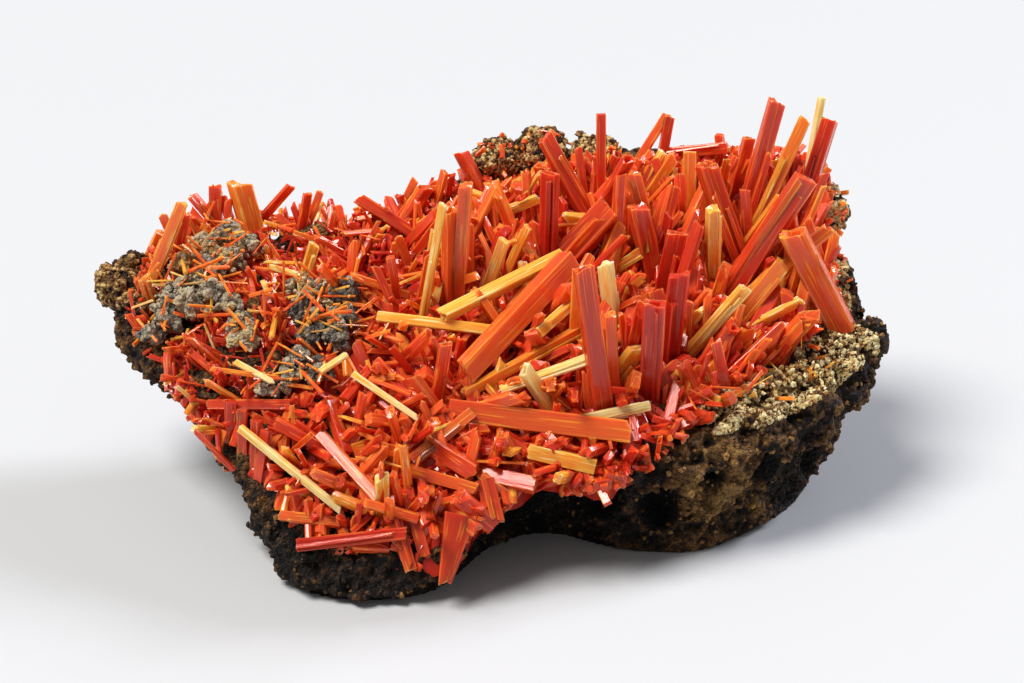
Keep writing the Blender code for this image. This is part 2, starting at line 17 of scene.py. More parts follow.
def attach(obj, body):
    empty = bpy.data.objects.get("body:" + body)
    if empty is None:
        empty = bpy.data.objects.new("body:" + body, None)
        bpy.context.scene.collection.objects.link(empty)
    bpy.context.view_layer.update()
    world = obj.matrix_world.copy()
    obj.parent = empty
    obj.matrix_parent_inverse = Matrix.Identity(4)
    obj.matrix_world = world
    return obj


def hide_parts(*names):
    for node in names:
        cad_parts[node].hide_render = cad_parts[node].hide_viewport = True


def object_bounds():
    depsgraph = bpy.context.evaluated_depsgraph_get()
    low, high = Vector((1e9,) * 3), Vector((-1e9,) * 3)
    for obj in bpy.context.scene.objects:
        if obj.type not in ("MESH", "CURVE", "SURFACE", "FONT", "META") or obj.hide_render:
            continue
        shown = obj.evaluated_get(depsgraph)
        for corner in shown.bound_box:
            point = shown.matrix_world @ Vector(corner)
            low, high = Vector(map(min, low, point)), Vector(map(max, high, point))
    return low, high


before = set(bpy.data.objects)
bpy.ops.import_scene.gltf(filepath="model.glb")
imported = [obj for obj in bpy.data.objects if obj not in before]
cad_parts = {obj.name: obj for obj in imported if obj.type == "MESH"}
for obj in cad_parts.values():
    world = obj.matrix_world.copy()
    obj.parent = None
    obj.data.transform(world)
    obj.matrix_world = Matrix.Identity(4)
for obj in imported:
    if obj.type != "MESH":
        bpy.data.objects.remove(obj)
CAD_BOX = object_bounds()

MM = 0.001
SPECIMEN_MIDDLE = Vector((-1.23, -0.39, 0.0))

# The viewpoint: its place, tilt and focal length in pixels, and the picture's size in pixels
EYE = Vector((0.55, -169.90, 97.52))
EYE_PITCH = math.radians(26.53)
EYE_ROLL = math.radians(2.03)
EYE_FOCAL = 2355.4
PICTURE = (1024, 683)
SENSOR_WIDTH = 36.0

# Where a line of sight starts above the specimen, and the steps that it is followed in
START_HEIGHT = 45.0
FIRST_STEP = 0.8
FINEST_STEP = 0.01

# Heights of the rock's upper surface at places read across it: x, y, z
SURFACE_HEIGHTS = [
    (-33, 4, 14.6), (-28, 7, 16.4), (-20, 8, 17.2), (-13, 11, 17.0), (-7, 14, 19.0),
    (-1, 18, 21.0), (6, 19, 21.5), (16, 18, 21.5), (26, 14, 19.5), (28, 8, 15.0),
    (-30, -3, 11.8), (-23, -10, 9.0), (-12, -6, 12.0), (-5, 4, 16.0), (0, -8, 11.5),
    (6, 5, 17.0), (12, -6, 12.0), (16, 5, 16.5), (20, -8, 10.0), (27, -2, 11.2),
    (-17, -15, 6.5), (-8, -17, 5.0), (-1, -17, 5.5), (5, -13, 8.0), (10, -12, 9.0),
]
SURFACE_SPAN = (30.0, 20.0)

# The rock's outline in plan, and its flat foot at the same bearings
ROCK_OUTLINE = [
    (31.2, 2.8), (28.6, -2.2), (24.8, -5.6), (20.2, -9.2), (15.6, -11.6), (10.2, -12.4),
    (5.2, -12.4), (0.0, -14.2), (-4.6, -18.6), (-10.6, -20.4), (-16.0, -18.2),
    (-19.2, -14.2), (-23.0, -9.6), (-27.4, -4.6), (-30.8, -0.6), (-32.8, 3.6),
    (-31.4, 6.6), (-27.0, 8.8), (-20.0, 10.2), (-13.0, 11.4), (-8.0, 14.8),
    (-1.0, 18.8), (6.6, 20.0), (15.6, 19.8), (23.6, 17.8), (27.6, 14.0), (28.2, 8.6),
]
ROCK_FOOT = [
    (25.6, 2.2), (24.2, -2.4), (22.0, -5.2), (18.4, -8.8), (14.8, -10.8), (9.4, -10.6),
    (4.0, -8.6), (-0.5, -11.0), (-4.6, -17.6), (-10.6, -19.4), (-15.2, -17.8),
    (-17.0, -12.4), (-16.8, -7.2), (-17.2, -2.9), (-17.4, -0.4), (-17.6, 1.8),
    (-17.0, 3.6), (-15.6, 5.2), (-13.4, 7.2), (-10.0, 9.4), (-6.2, 11.6),
    (-0.8, 14.2), (5.0, 15.4), (12.2, 15.2), (18.2, 13.4), (22.0, 10.6), (23.8, 6.8),
]

# The block's rings: shares of the outline on top, then shares out and up along its walls
TOP_RINGS = (0.25, 0.50, 0.72, 0.90, 1.0)
WALL_RINGS = ((0.86, 0.80), (0.52, 0.54), (0.24, 0.28), (0.06, 0.08))

# The size and height of the block's unevenness, and how finely the block is remeshed
ROUGHNESS = ((7.0, 1.5), (3.0, 0.7))
ROUGHNESS_SHIFTS = (Vector((9.3, 0, 0)), Vector((0, 4.7, 0)), Vector((0, 0, 7.9)))
TOP_ROUGHNESS = 0.45
EDGE_ROUNDING = 0.9
ROCK_STEPS = 4
ROCK_VOXEL = 0.27

# Lumps grown on the rock's prongs and rim: x, y, height above the surface, radius
ROCK_LUMPS = [
    (-32.0, 4.2, -0.6, 1.9), (-30.0, 1.0, -0.6, 1.6), (-30.6, 6.4, -0.4, 1.6),
    (29.8, 3.4, -0.9, 1.7), (27.8, 0.0, -0.9, 1.6), (27.4, 7.6, -0.2, 1.6),
    (25.0, -4.2, -1.0, 1.5), (26.2, 13.6, 0.2, 2.1),
    (-1.4, 17.4, 0.6, 2.2), (2.6, 18.0, 0.5, 2.3), (7.0, 18.6, 0.0, 2.0),
]

# Pits eaten into the rock's bare side: x, y, z, radius
ROCK_PITS = [
    (21.4, -8.6, 6.2, 1.4), (16.8, -11.4, 6.4, 1.3), (12.6, -12.2, 4.2, 1.9),
    (25.8, -4.0, 4.6, 1.5), (7.0, -11.6, 4.8, 2.2), (1.8, -12.4, 3.8, 2.4),
]

# Where the bare rock is more ochre, and painted shade on its low front, toe and the recess under the
# crystals where the amount is below zero: place, reach, amount
ROCK_OCHRE_AND_PAINTED_SHADE = [
    (Vector((17.5, -10.5, 6.0)), 4.5, 0.75), (Vector((12.0, -12.0, 1.0)), 4.0, -0.25),
    (Vector((24.0, -5.0, 3.0)), 4.0, -0.5), (Vector((4.0, -11.5, 3.0)), 6.0, -0.6),
    (Vector((-15.0, -18.0, 1.5)), 5.0, -0.5), (Vector((-32.0, 4.0, 13.0)), 4.0, 0.3),
]

# Where crystals carpet the top, in plan
CARPET_OUTLINE = [
    (28.2, 9.5), (26.6, 4.5), (23.7, -0.1), (21.4, -1.8), (18.2, -5.7), (15.2, -8.0),
    (12.2, -12.1), (9.1, -14.2), (4.6, -14.8), (1.4, -15.4), (-0.8, -17.4), (-4.4, -20.0),
    (-7.4, -19.8), (-11.0, -18.8), (-14.6, -17.2), (-17.4, -14.8), (-20.8, -13.2),
    (-24.4, -9.8), (-27.8, -5.2), (-30.4, -1.4), (-31.0, 3.4), (-29.7, 7.4), (-25.4, 9.6),
    (-17.5, 9.8), (-12.5, 10.4), (-7.4, 13.4), (-1.6, 15.8), (5.0, 16.8), (12.0, 18.4),
    (18.0, 18.6), (24.0, 17.0), (28.0, 13.6),
]
CARPET_WIDTH = (-31, 29)
CARPET_DEPTH = (-20, 19)
CARPET_STEPS = 6

# Lumps of granular crust: pixel, radius, height of the centre above the surface
LEFT_CRUST = [
    ((190, 266), 1.50, 1.1), ((207, 250), 1.50, 1.2), ((228, 240), 1.50, 1.2),
    ((248, 251), 1.50, 1.2), ((230, 262), 1.45, 1.1), ((211, 273), 1.45, 1.1),
    ((192, 288), 1.55, 1.1), ((214, 295), 1.55, 1.1), ((171, 304), 1.45, 0.8),
    ((192, 310), 1.45, 1.0), ((229, 309), 1.35, 1.1), ((169, 324), 1.35, 0.8),
    ((152, 336), 1.25, 0.5), ((240, 326), 1.30, 1.0), ((243, 342), 1.20, 0.9),
]
MIDDLE_CRUST = [
    ((301, 292), 1.50, 1.3), ((322, 296), 1.50, 1.5), ((346, 297), 1.55, 1.6),
    ((303, 315), 1.45, 1.2), ((325, 316), 1.45, 1.4), ((345, 318), 1.35, 1.3),
    ((315, 336), 1.45, 1.1), ((336, 337), 1.35, 1.2),
]
LOWER_CRUST = [
    ((302, 369), 1.50, 1.0), ((320, 378), 1.35, 1.0), ((289, 380), 1.30, 0.8),
    ((268, 391), 1.25, 0.6),
]
RIM_CRUST = [
    ((706, 410), 1.20, 0.3), ((725, 404), 1.25, 0.3), ((745, 397), 1.25, 0.3),
    ((766, 390), 1.30, 0.3), ((786, 382), 1.30, 0.3), ((806, 372), 1.35, 0.4),
    ((825, 360), 1.40, 0.4), ((844, 348), 1.35, 0.3), ((822, 380), 1.15, 0.1),
]

# The edge of the mass of crystals, and patches of sugary crust on bare rock, as pixels
CRYSTAL_EDGE = [
    (128, 330), (122, 302), (138, 268), (152, 240), (166, 214), (186, 202), (215, 190),
    (250, 190), (285, 194), (322, 198), (352, 206), (386, 196), (415, 184), (445, 174),
    (465, 162), (500, 180), (530, 168), (545, 156), (600, 148), (640, 152), (668, 146),
    (700, 146), (730, 142), (760, 146), (800, 142), (826, 152), (832, 190), (838, 240),
    (842, 290), (838, 318), (800, 345), (765, 372), (730, 402), (700, 432), (665, 456),
    (635, 482), (600, 500), (560, 498), (540, 492), (520, 502), (490, 522), (465, 547),
    (445, 588), (430, 580), (410, 572), (395, 548), (350, 562), (318, 548), (290, 528),
    (275, 516), (265, 502), (245, 490), (225, 475), (200, 450), (190, 425), (172, 400),
    (148, 362),
]
RIM_PATCH = [
    (700, 402), (735, 384), (770, 370), (800, 345), (815, 322), (850, 322), (878, 335),
    (878, 352), (850, 374), (828, 394), (800, 410), (760, 427), (715, 434),
]
BROWN_PATCHES = [
    ("side", [
        (815, 165), (845, 178), (850, 230), (846, 262), (850, 320), (835, 322), (826, 240),
    ], 1700, (0.1, 0.8)),
    ("back", [
        (470, 160), (476, 142), (500, 132), (545, 128), (580, 130), (622, 142), (620, 155),
        (545, 172), (500, 182),
    ], 1500, (0.0, 0.55)),
    ("prong", [
        (86, 268), (105, 252), (135, 256), (148, 280), (128, 306), (100, 306), (86, 285),
    ], 700, (0.0, 0.45)),
]

# How red or yellow a crystal is, from 0, deep red, to 1, pale gold
DEEP, RED, WARM, ORANGE, GOLD, PALE = 0.10, 0.24, 0.36, 0.50, 0.68, 0.84
GOLD_FROM = 0.58

# Standing crystals: the tip's pixel, the foot's pixel, width, tone
STANDING = [
    # the spires and blades of the high right side
    ((601, 113), (601, 200), 0.80, RED), ((668, 113), (641, 156), 0.75, WARM),
    ((670, 115), (662, 157), 0.90, RED), ((664, 150), (645, 184), 0.75, GOLD),
    ((675, 155), (652, 190), 1.00, ORANGE), ((632, 170), (650, 235), 1.30, WARM),
    ((690, 150), (690, 205), 1.10, ORANGE), ((719, 133), (722, 160), 0.75, RED),
    ((750, 135), (735, 190), 1.10, RED), ((778, 98), (745, 215), 1.45, RED),
    ((806, 117), (757, 225), 1.10, ORANGE), ((822, 96), (805, 190), 0.65, PALE),
    ((831, 117), (800, 215), 1.30, DEEP), ((808, 175), (735, 285), 1.90, RED),
    ((782, 195), (742, 250), 0.80, ORANGE), ((745, 188), (748, 240), 0.90, RED),
    ((610, 312), (614, 388), 0.90, WARM), ((637, 203), (652, 270), 1.70, RED),
    ((678, 230), (665, 290), 1.70, DEEP),
    ((713, 205), (712, 272), 1.10, GOLD), ((705, 162), (735, 250), 1.70, RED),
    ((790, 228), (835, 315), 2.10, WARM), ((805, 218), (820, 262), 0.95, WARM),
    ((785, 262), (745, 312), 1.40, ORANGE), ((803, 299), (755, 325), 0.80, GOLD),
    ((748, 285), (693, 348), 1.05, GOLD), ((605, 260), (612, 324), 1.40, PALE),
    ((650, 245), (612, 270), 0.80, ORANGE), ((645, 277), (617, 300), 0.70, ORANGE),
    ((640, 345), (620, 372), 1.30, GOLD), ((690, 300), (690, 340), 0.70, RED),
    ((655, 300), (650, 390), 1.70, DEEP), ((680, 270), (670, 350), 1.70, DEEP),
    ((715, 340), (725, 385), 0.95, RED),
    # the middle of the thicket
    ((416, 178), (403, 205), 0.70, WARM), ((445, 170), (437, 200), 0.70, WARM),
    ((460, 150), (480, 188), 1.10, RED), ((466, 182), (458, 300), 1.10, WARM),
    ((443, 203), (424, 312), 0.70, GOLD), ((450, 207), (450, 300), 1.20, WARM),
    ((505, 238), (487, 290), 0.90, GOLD), ((529, 225), (505, 278), 0.70, ORANGE),
    ((543, 134), (588, 216), 1.45, RED), ((550, 170), (548, 260), 1.60, DEEP),
    ((613, 206), (562, 262), 2.20, RED), ((578, 146), (585, 200), 0.70, RED),
    ((583, 265), (603, 408), 1.60, RED), ((523, 367), (548, 405), 1.10, PALE),
    ((446, 342), (437, 400), 1.00, RED),
    # the sprays along the left edge
    ((161, 212), (170, 232), 0.75, WARM), ((183, 201), (152, 278), 0.95, ORANGE),
    ((186, 212), (178, 250), 0.80, RED), ((190, 193), (213, 220), 0.90, RED),
    ((215, 182), (216, 220), 1.10, RED), ((238, 179), (250, 222), 1.80, ORANGE),
    ((292, 185), (268, 212), 0.75, RED), ((143, 275), (150, 298), 0.95, ORANGE),
    ((308, 192), (302, 226), 0.75, RED), ((321, 190), (312, 214), 0.70, WARM),
    ((315, 242), (306, 272), 0.90, GOLD), ((356, 197), (405, 228), 0.95, RED),
    ((397, 235), (407, 260), 0.75, WARM), ((390, 255), (397, 295), 0.70, RED),
]

# Crystals that lie on the slope: the tip's pixel, the foot's pixel, width, raise at tip and foot
LYING = [
    ((731, 147), (683, 152), 1.00, 2.6, 1.2, RED), ((541, 197), (493, 217), 0.80, 4.0, 2.0, GOLD),
    ((438, 317), (546, 264), 1.10, 3.2, 4.2, GOLD), ((462, 375), (558, 273), 1.80, 3.0, 4.4, WARM),
    ((376, 316), (487, 330), 0.85, 2.4, 2.4, GOLD), ((533, 338), (575, 300), 0.95, 4.0, 3.6, GOLD),
    ((462, 395), (580, 330), 0.85, 2.2, 3.0, ORANGE), ((603, 352), (520, 383), 0.8, 4.2, 2.4, PALE),
    ((632, 432), (470, 412), 1.70, 2.2, 1.6, WARM), ((475, 411), (428, 448), 0.95, 2.2, 1.4, WARM),
    ((652, 405), (583, 420), 0.80, 2.2, 1.4, PALE), ((525, 450), (575, 462), 1.20, 1.6, 1.4, GOLD),
    ((205, 405), (270, 405), 0.80, 1.2, 1.0, RED), ((278, 515), (320, 520), 0.80, 1.4, 1.0, WARM),
    ((408, 533), (318, 543), 1.00, 2.0, 1.2, DEEP), ((380, 500), (333, 448), 0.95, 1.8, 1.2, WARM),
    ((480, 475), (440, 450), 1.50, 1.8, 1.2, RED), ((480, 490), (418, 473), 0.95, 1.8, 1.2, WARM),
    ((328, 400), (340, 435), 0.95, 1.6, 1.2, RED),
]

# Crystals that hang over the front edge: the tip's pixel, the foot's pixel, width, reach forward
HANGING = [
    ((443, 588), (455, 535), 2.4, 2.0), ((426, 560), (413, 510), 1.0, 2.2),
    ((412, 572), (402, 540), 1.0, 1.4), ((480, 533), (450, 510), 1.1, 2.0),
    ((538, 486), (500, 478), 1.2, 1.0), ((497, 526), (490, 500), 1.4, 1.2),
    ((228, 472), (230, 420), 0.8, 0.6), ((243, 480), (242, 430), 0.8, 0.8),
    ((254, 490), (256, 440), 0.8, 0.8), ((255, 503), (263, 450), 0.8, 1.0),
]

# How high feet stand over the surface, how deep large crystals root, and how much they fan out
STAND_RAISE = 0.8
ROOT_DEPTH = 1.6
FAN_OUT = 0.0012

# Loose needles, each a piece of its own, lying across the thicket: ends' pixels, width, raises
LOOSE_NEEDLES = {
    "loose_needle_front": ((240, 428), (342, 511), 0.62, 2.1, 2.1),
    "loose_needle_left": ((235, 362), (276, 384), 0.55, 2.3, 2.3),
    "loose_needle_middle": ((353, 374), (420, 420), 0.55, 2.4, 2.4),
    "loose_needle_crust": ((320, 372), (349, 353), 0.50, 3.0, 3.0),
}

def eye_axes():
    """The viewpoint's right, up and forward directions."""
    forward = Vector((0, math.cos(EYE_PITCH), -math.sin(EYE_PITCH)))
    level_up = Vector((0, math.sin(EYE_PITCH), math.cos(EYE_PITCH)))
    level_right = Vector((1, 0, 0))
    right = level_right * math.cos(EYE_ROLL) + level_up * math.sin(EYE_ROLL)
    up = level_up * math.cos(EYE_ROLL) - level_right * math.sin(EYE_ROLL)
    return right, up, forward


RIGHT, UP, FORWARD = eye_axes()


def eye_ray(pixel):
    """The direction from the viewpoint through a pixel."""
    across = pixel[0] - PICTURE[0] / 2
    down = pixel[1] - PICTURE[1] / 2
    return (FORWARD * EYE_FOCAL + RIGHT * across - UP * down).normalized()


def seen_at(place):
    """The pixel at which a place is seen."""
    way = place - EYE
    scale = EYE_FOCAL / way.dot(FORWARD)
    return PICTURE[0] / 2 + way.dot(RIGHT) * scale, PICTURE[1] / 2 - way.dot(UP) * scale


def distance_ahead(place):
    """How far in front of the viewpoint a place is."""
    return (place - EYE).dot(FORWARD)


def surface_terms(x, y):
    """The terms of the smooth surface through SURFACE_HEIGHTS."""
    x, y = x / SURFACE_SPAN[0], y / SURFACE_SPAN[1]
    return [1, x, y, x * x, x * y, y * y, x * x * y, x * y * y, y * y * y]


SURFACE_FIT = np.linalg.lstsq(
    np.array([surface_terms(x, y) for x, y, z in SURFACE_HEIGHTS]),
    np.array([z for x, y, z in SURFACE_HEIGHTS]),
    rcond=None,
)[0].tolist()


def surface_height(x, y):
    """The height of the rock's upper surface."""
    return sum(term * factor for term, factor in zip(surface_terms(x, y), SURFACE_FIT))


def raised(x, y, raise_by):
    """The place at a height above the rock's upper surface."""
    return Vector((x, y, surface_height(x, y) + raise_by))


def on_surface(pixel, raise_by):
    """Where the line of sight through a pixel meets the surface raised by a height."""
    step = FIRST_STEP
    ray = eye_ray(pixel)
    travel = (START_HEIGHT - EYE.z) / ray.z
    while step > FINEST_STEP:
        place = EYE + ray * (travel + step)
        if place.z <= surface_height(place.x, place.y) + raise_by:
            step /= 2
        else:
            travel += step
    return EYE + ray * travel


def at_depth(pixel, y):
    """Where the line of sight through a pixel meets a depth plane."""
    ray = eye_ray(pixel)
    return EYE + ray * ((y - EYE.y) / ray.y)


def smooth_loop(points, steps):
    """A closed Catmull-Rom curve through plan points, as a list of more points."""
    made = []
    count = len(points)
    for i in range(count):
        a, b, c, d = (Vector(points[(i + k - 1) % count]) for k in range(4))
        for step in range(steps):
            t = step / steps
            bend = (2 * a - 5 * b + 4 * c - d) * t * t + (3 * b - a - 3 * c + d) * t * t * t
            made.append(0.5 * (2 * b + (c - a) * t + bend))
    return made


def inside(point, outline):
    """Whether a plan point lies within an outline."""
    hit = False
    for i, a in enumerate(outline):
        b = outline[i - 1]
        if (a[1] > point[1]) != (b[1] > point[1]):
            if point[0] < (b[0] - a[0]) * (point[1] - a[1]) / (b[1] - a[1]) + a[0]:
                hit = not hit
    return hit


def scatter(rng, spread):
    """A random vector whose three parts are spread about zero."""
    return Vector([rng.gauss(0, spread) for _ in range(3)])


def band(first, second, count):
    """The faces between two rings of corners that start at the given indices."""
    steps = [(i, (i + 1) % count) for i in range(count)]
    return [(first + i, first + j, second + j, second + i) for i, j in steps]


def linked(name, data):
    """A new object in the scene."""
    made = bpy.data.objects.new(name, data)
    bpy.context.scene.collection.objects.link(made)
    return made


class Batch:
    """The corners and faces of one piece in millimetres, with what its material reads."""

    def __init__(self):
        self.corners = []
        self.faces = []
        # The rise is a crystal's share along its length, painted paler towards the tip; on the rock it
        # is the height, painted darker in the hollows as shade.
        self.values = {"tone": [], "rise": [], "across": []}

    def add(self, corners, faces, *values):
        """Takes in a form, with the tone, rise and place across of each corner."""
        start = len(self.corners)
        self.corners.extend(corners)
        self.faces.extend(tuple(start + i for i in face) for face in faces)
        for held, new in zip(self.values.values(), values):
            held.extend(new)

    def piece(self, name, material, slot):
        """The batch as an object that rides on the root body."""
        low, high = (np.array(corner) for corner in CAD_BOX)
        places = np.array([tuple(c) for c in self.corners]) - np.array(SPECIMEN_MIDDLE)
        places = np.clip(places * MM, low, high)
        mesh = bpy.data.meshes.new(name)
        mesh.from_pydata(places.tolist(), [], self.faces)
        for label, held in self.values.items():
            mesh.attributes.new(label, "FLOAT", "POINT").data.foreach_set("value", held)
        mesh.update()
        mesh.materials.append(material)
        shape = linked(name, mesh)
        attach(shape, "root")
        return shape


class Sorted:
    """Two batches, one for the red crystals and one for the gold and pale ones."""

    def __init__(self):
        self.red = Batch()
        self.gold = Batch()

    def add(self, corners, faces, tone, *others):
        batch = self.gold if min(tone) > GOLD_FROM else self.red
        batch.add(corners, faces, tone, *others)


# How far a large crystal's broad side may turn away from the front, and how steep ends are
BROAD_SPREAD = 0.35
LARGE_SLANT = 0.7
SMALL_SLANT = 1.5

# Where a crystal's sides are divided between two edges, how deep they are furrowed there, and how
# much paler than the sides its edges are painted, a painted glow along the edges
LARGE_SIDE = (0.10, 0.36, 0.64, 0.90)
MEDIUM_SIDE = (0.14, 0.86)
PLAIN_SIDE = ()
FURROW = 0.035
EDGE_PAINTED_GLOW = 0.09

# Shares of a crystal's width: its depth, the chips and drop of its end, and a hollow end's depth
CRYSTAL_DEPTH = (0.45, 0.90)
END_CHIP = 0.14
END_DROP = 0.12
HOLLOW_DEPTH = (0.5, 1.3)
HOLLOW_RIM = 0.05

# How much bevels vary, how much a crystal may taper, how wide a hollow end's bottom is, and where
# along its length a crystal's middle ring is
BEVEL_SPREAD = (0.6, 1.6)
TAPER = 0.12
HOLLOW_BOTTOM = (0.5, 0.72)
MIDDLE_RING = 0.55
LEAST_BODY = 0.3


def section(width, depth, bevel, side, rng):
    """A rhombic cross-section with cut edges and furrowed sides, and which points are edges, as the
    painted glow that each point gets.
    """
    half = (width / 2, depth / 2)
    thin = min(width, depth)
    painted_edge_glow = EDGE_PAINTED_GLOW if side else 0.0
    corners = [(1, 1), (-1, 1), (-1, -1), (1, -1)]
    points, glow = [], []
    for (u, v), (nu, nv) in zip(corners, corners[1:] + corners[:1]):
        a = Vector((u * half[0], v * half[1]))
        b = Vector((nu * half[0], nv * half[1]))
        inward = -(a + b).normalized()
        cut = bevel * thin
        way = (b - a).normalized()
        start, end = a + way * cut, b - way * cut
        points.append(start)
        for share in side:
            furrow = rng.uniform(0.0, FURROW) * thin
            points.append(start.lerp(end, share) + inward * furrow)
        points.append(end)
        glow += [painted_edge_glow, *[0.0] * len(side), painted_edge_glow]
    return points, glow


def add_crystal(
    batch, foot, tip, width, tone, rng, side=PLAIN_SIDE, bevel=0.12, hollow=False,
    slant=SMALL_SLANT, taper=None,
):
    """One prism from foot to tip, with an oblique, chiselled or hollow end."""
    axis = tip - foot
    length = axis.length
    axis = axis / length
    if slant < 1:
        across = axis.cross(FORWARD).normalized()
        turn = rng.gauss(0, BROAD_SPREAD)
    else:
        across = axis.orthogonal().normalized()
        turn = rng.uniform(0, math.pi)
    across.rotate(Matrix.Rotation(turn, 3, axis))
    other = axis.cross(across)
    depth = width * rng.uniform(*CRYSTAL_DEPTH)
    shape, glow = section(width, depth, bevel * rng.uniform(*BEVEL_SPREAD), side, rng)
    count = len(shape)
    slopes = [
        (rng.uniform(-slant, slant), rng.uniform(-slant, slant) * 0.7, rng.uniform(0, END_DROP) * width)
        for _ in range(2)
    ]
    taper = taper or 1.0 - rng.uniform(0.0, TAPER) * slant
    chips = [rng.uniform(0.0, END_CHIP) * width for _ in shape]
    drops = [max(0.0, *(a * p.x + b * p.y + c for a, b, c in slopes)) for p in shape]
    body = max(length - max(drops), LEAST_BODY * length)
    around = [0.0]
    for before, after in zip(shape, shape[1:]):
        around.append(around[-1] + (after - before).length)
    loop = around[-1] + (shape[0] - shape[-1]).length
    shift = rng.uniform(0, 50)
    lines = [abs(a - loop / 2) + shift for a in around]
    rows = []

    def add_ring(reaches, size):
        # Edge points are painted paler, a painted glow along the crystal's edges.
        for p, line, pale, reach in zip(shape, lines, glow, reaches):
            place = foot + across * (p.x * size) + other * (p.y * size) + axis * reach
            rows.append((place, tone + pale, reach / length, line))

    add_ring([0.0] * count, 1.0)
    add_ring([MIDDLE_RING * body] * count, (1 + taper) / 2)
    reaches = [max(length - drop - chip, body + 0.01 * width) for drop, chip in zip(drops, chips)]
    add_ring(reaches, taper)
    top = 2 * count
    faces = [tuple(range(count - 1, -1, -1)), *band(0, count, count), *band(count, top, count)]
    if hollow:
        size = rng.uniform(*HOLLOW_BOTTOM) * taper
        add_ring([reach - HOLLOW_RIM * width for reach in reaches], size)
        faces += band(top, top + count, count)
        top += count
        centre = foot + axis * (length - max(drops) - rng.uniform(*HOLLOW_DEPTH) * width)
    else:
        centre = foot + axis * (sum(reaches) / count)
    faces += [(top + i, top + (i + 1) % count, len(rows)) for i in range(count)]
    rows.append((centre, tone, 1.0, shift))
    corners, *values = zip(*rows)
    batch.add(corners, faces, *values)


# The slim prisms beside a large one: their number, distance, length, width, lean and tone
BESIDE_FROM = 0.75
BESIDE_COUNTS = (1, 1, 2, 2, 3)
BESIDE_DISTANCE = (0.28, 0.44)
BESIDE_LENGTH = (0.55, 0.97)
BESIDE_WIDTH = (0.3, 0.55)
BESIDE_LEAN = 0.02
BESIDE_TONE = 0.10
HOLLOW_FROM = 0.9
HOLLOW_SHARE = 0.35


def add_growth(batch, beside, foot, tip, width, tone, taper, rng):
    """A large crystal as it grew: one main prism and slimmer ones beside it, nearly parallel."""
    root = foot - (tip - foot).normalized() * ROOT_DEPTH
    hollow = width > HOLLOW_FROM and rng.random() < HOLLOW_SHARE
    add_crystal(batch, root, tip, width, tone, rng, LARGE_SIDE, 0.08, hollow, LARGE_SLANT, taper)
    if taper:
        return
    axis = (tip - root).normalized()
    across = axis.orthogonal().normalized()
    for _ in range(rng.choice(BESIDE_COUNTS) if width > BESIDE_FROM else 1):
        around = Matrix.Rotation(rng.uniform(0, 2 * math.pi), 3, axis)
        offset = around @ across * width * rng.uniform(*BESIDE_DISTANCE)
        share = rng.uniform(*BESIDE_LENGTH)
        slim = width * rng.uniform(*BESIDE_WIDTH)
        end = root + (tip - root) * share + offset
        lean = scatter(rng, 1) * BESIDE_LEAN * (end - root).length
        new_tone = tone + rng.uniform(-BESIDE_TONE, BESIDE_TONE)
        add_crystal(beside, root + offset, end + lean, slim, new_tone, rng, MEDIUM_SIDE, bevel=0.14)


# The taper of a thick crystal that hangs over the edge, and how thick it is
POINTED = 0.35
POINTED_FROM = 2.0


def crystal_ends():
    """Foot, tip, width, tone and taper of every crystal read from the specimen."""
    ends = []
    for tip_pixel, foot_pixel, width, tone in STANDING:
        foot = on_surface(foot_pixel, STAND_RAISE)
        length = (Vector(tip_pixel) - Vector(foot_pixel)).length
        tip = at_depth(tip_pixel, foot.y * (1 + FAN_OUT * length))
        ends.append((foot, tip, width, tone, None))
    for tip_pixel, foot_pixel, width, tip_raise, foot_raise, tone in LYING:
        foot = on_surface(foot_pixel, foot_raise)
        ends.append((foot, on_surface(tip_pixel, tip_raise), width, tone, None))
    for tip_pixel, foot_pixel, width, reach in HANGING:
        foot = on_surface(foot_pixel, STAND_RAISE)
        taper = POINTED if width > POINTED_FROM else None
        ends.append((foot, at_depth(tip_pixel, foot.y - reach), width, RED, taper))
    return ends


# How much of a crust lump stays open, and the pixels kept free round each large form
OPEN_CRUST = 0.8
OPEN_MARGIN = 1.0


def large_forms():
    """The crystals and crust lumps that lie open: ends as pixels and distances, half width."""
    forms = [(foot, tip, width / 2) for foot, tip, width, *_ in crystal_ends()]
    for start, end, width, first, second in LOOSE_NEEDLES.values():
        forms.append((on_surface(start, first), on_surface(end, second), width / 2))
    for pixel, radius, raise_by in LEFT_CRUST + MIDDLE_CRUST + LOWER_CRUST:
        middle = on_surface(pixel, raise_by)
        forms.append((middle, middle + Vector((0.1, 0, 0)), radius * OPEN_CRUST))
    made = []
    for foot, tip, half in forms:
        far, near = distance_ahead(foot), distance_ahead(tip)
        made.append((*seen_at(foot), far, *seen_at(tip), near, half * EYE_FOCAL / far + OPEN_MARGIN))
    return made


LARGE_FORMS = large_forms()


def hides(place):
    """Whether something at a place would stand before a large form."""
    x, y = seen_at(place)
    ahead = distance_ahead(place)
    for ax, ay, far, bx, by, near, half in LARGE_FORMS:
        dx, dy = bx - ax, by - ay
        share = ((x - ax) * dx + (y - ay) * dy) / (dx * dx + dy * dy)
        share = min(max(share, 0.0), 1.0)
        away = math.hypot(x - ax - dx * share, y - ay - dy * share)
        if away < half and ahead < far + (near - far) * share:
            return True
    return False


# The shares of its length that a crystal is drawn back to, and the places tested along it
FITS = (1.0, 0.8, 0.62, 0.45, 0.3)
TESTED = (0.25, 0.5, 0.75, 1.0)


def fitted(foot, tip):
    """The tip drawn back until the crystal keeps within the mass and hides no large form."""
    if not inside(seen_at(foot), CRYSTAL_EDGE):
        return None
    for share in FITS:
        drawn = foot.lerp(tip, share)
        if not inside(seen_at(drawn), CRYSTAL_EDGE):
            continue
        if not any(hides(foot.lerp(drawn, part)) for part in TESTED):
            return drawn
    return None


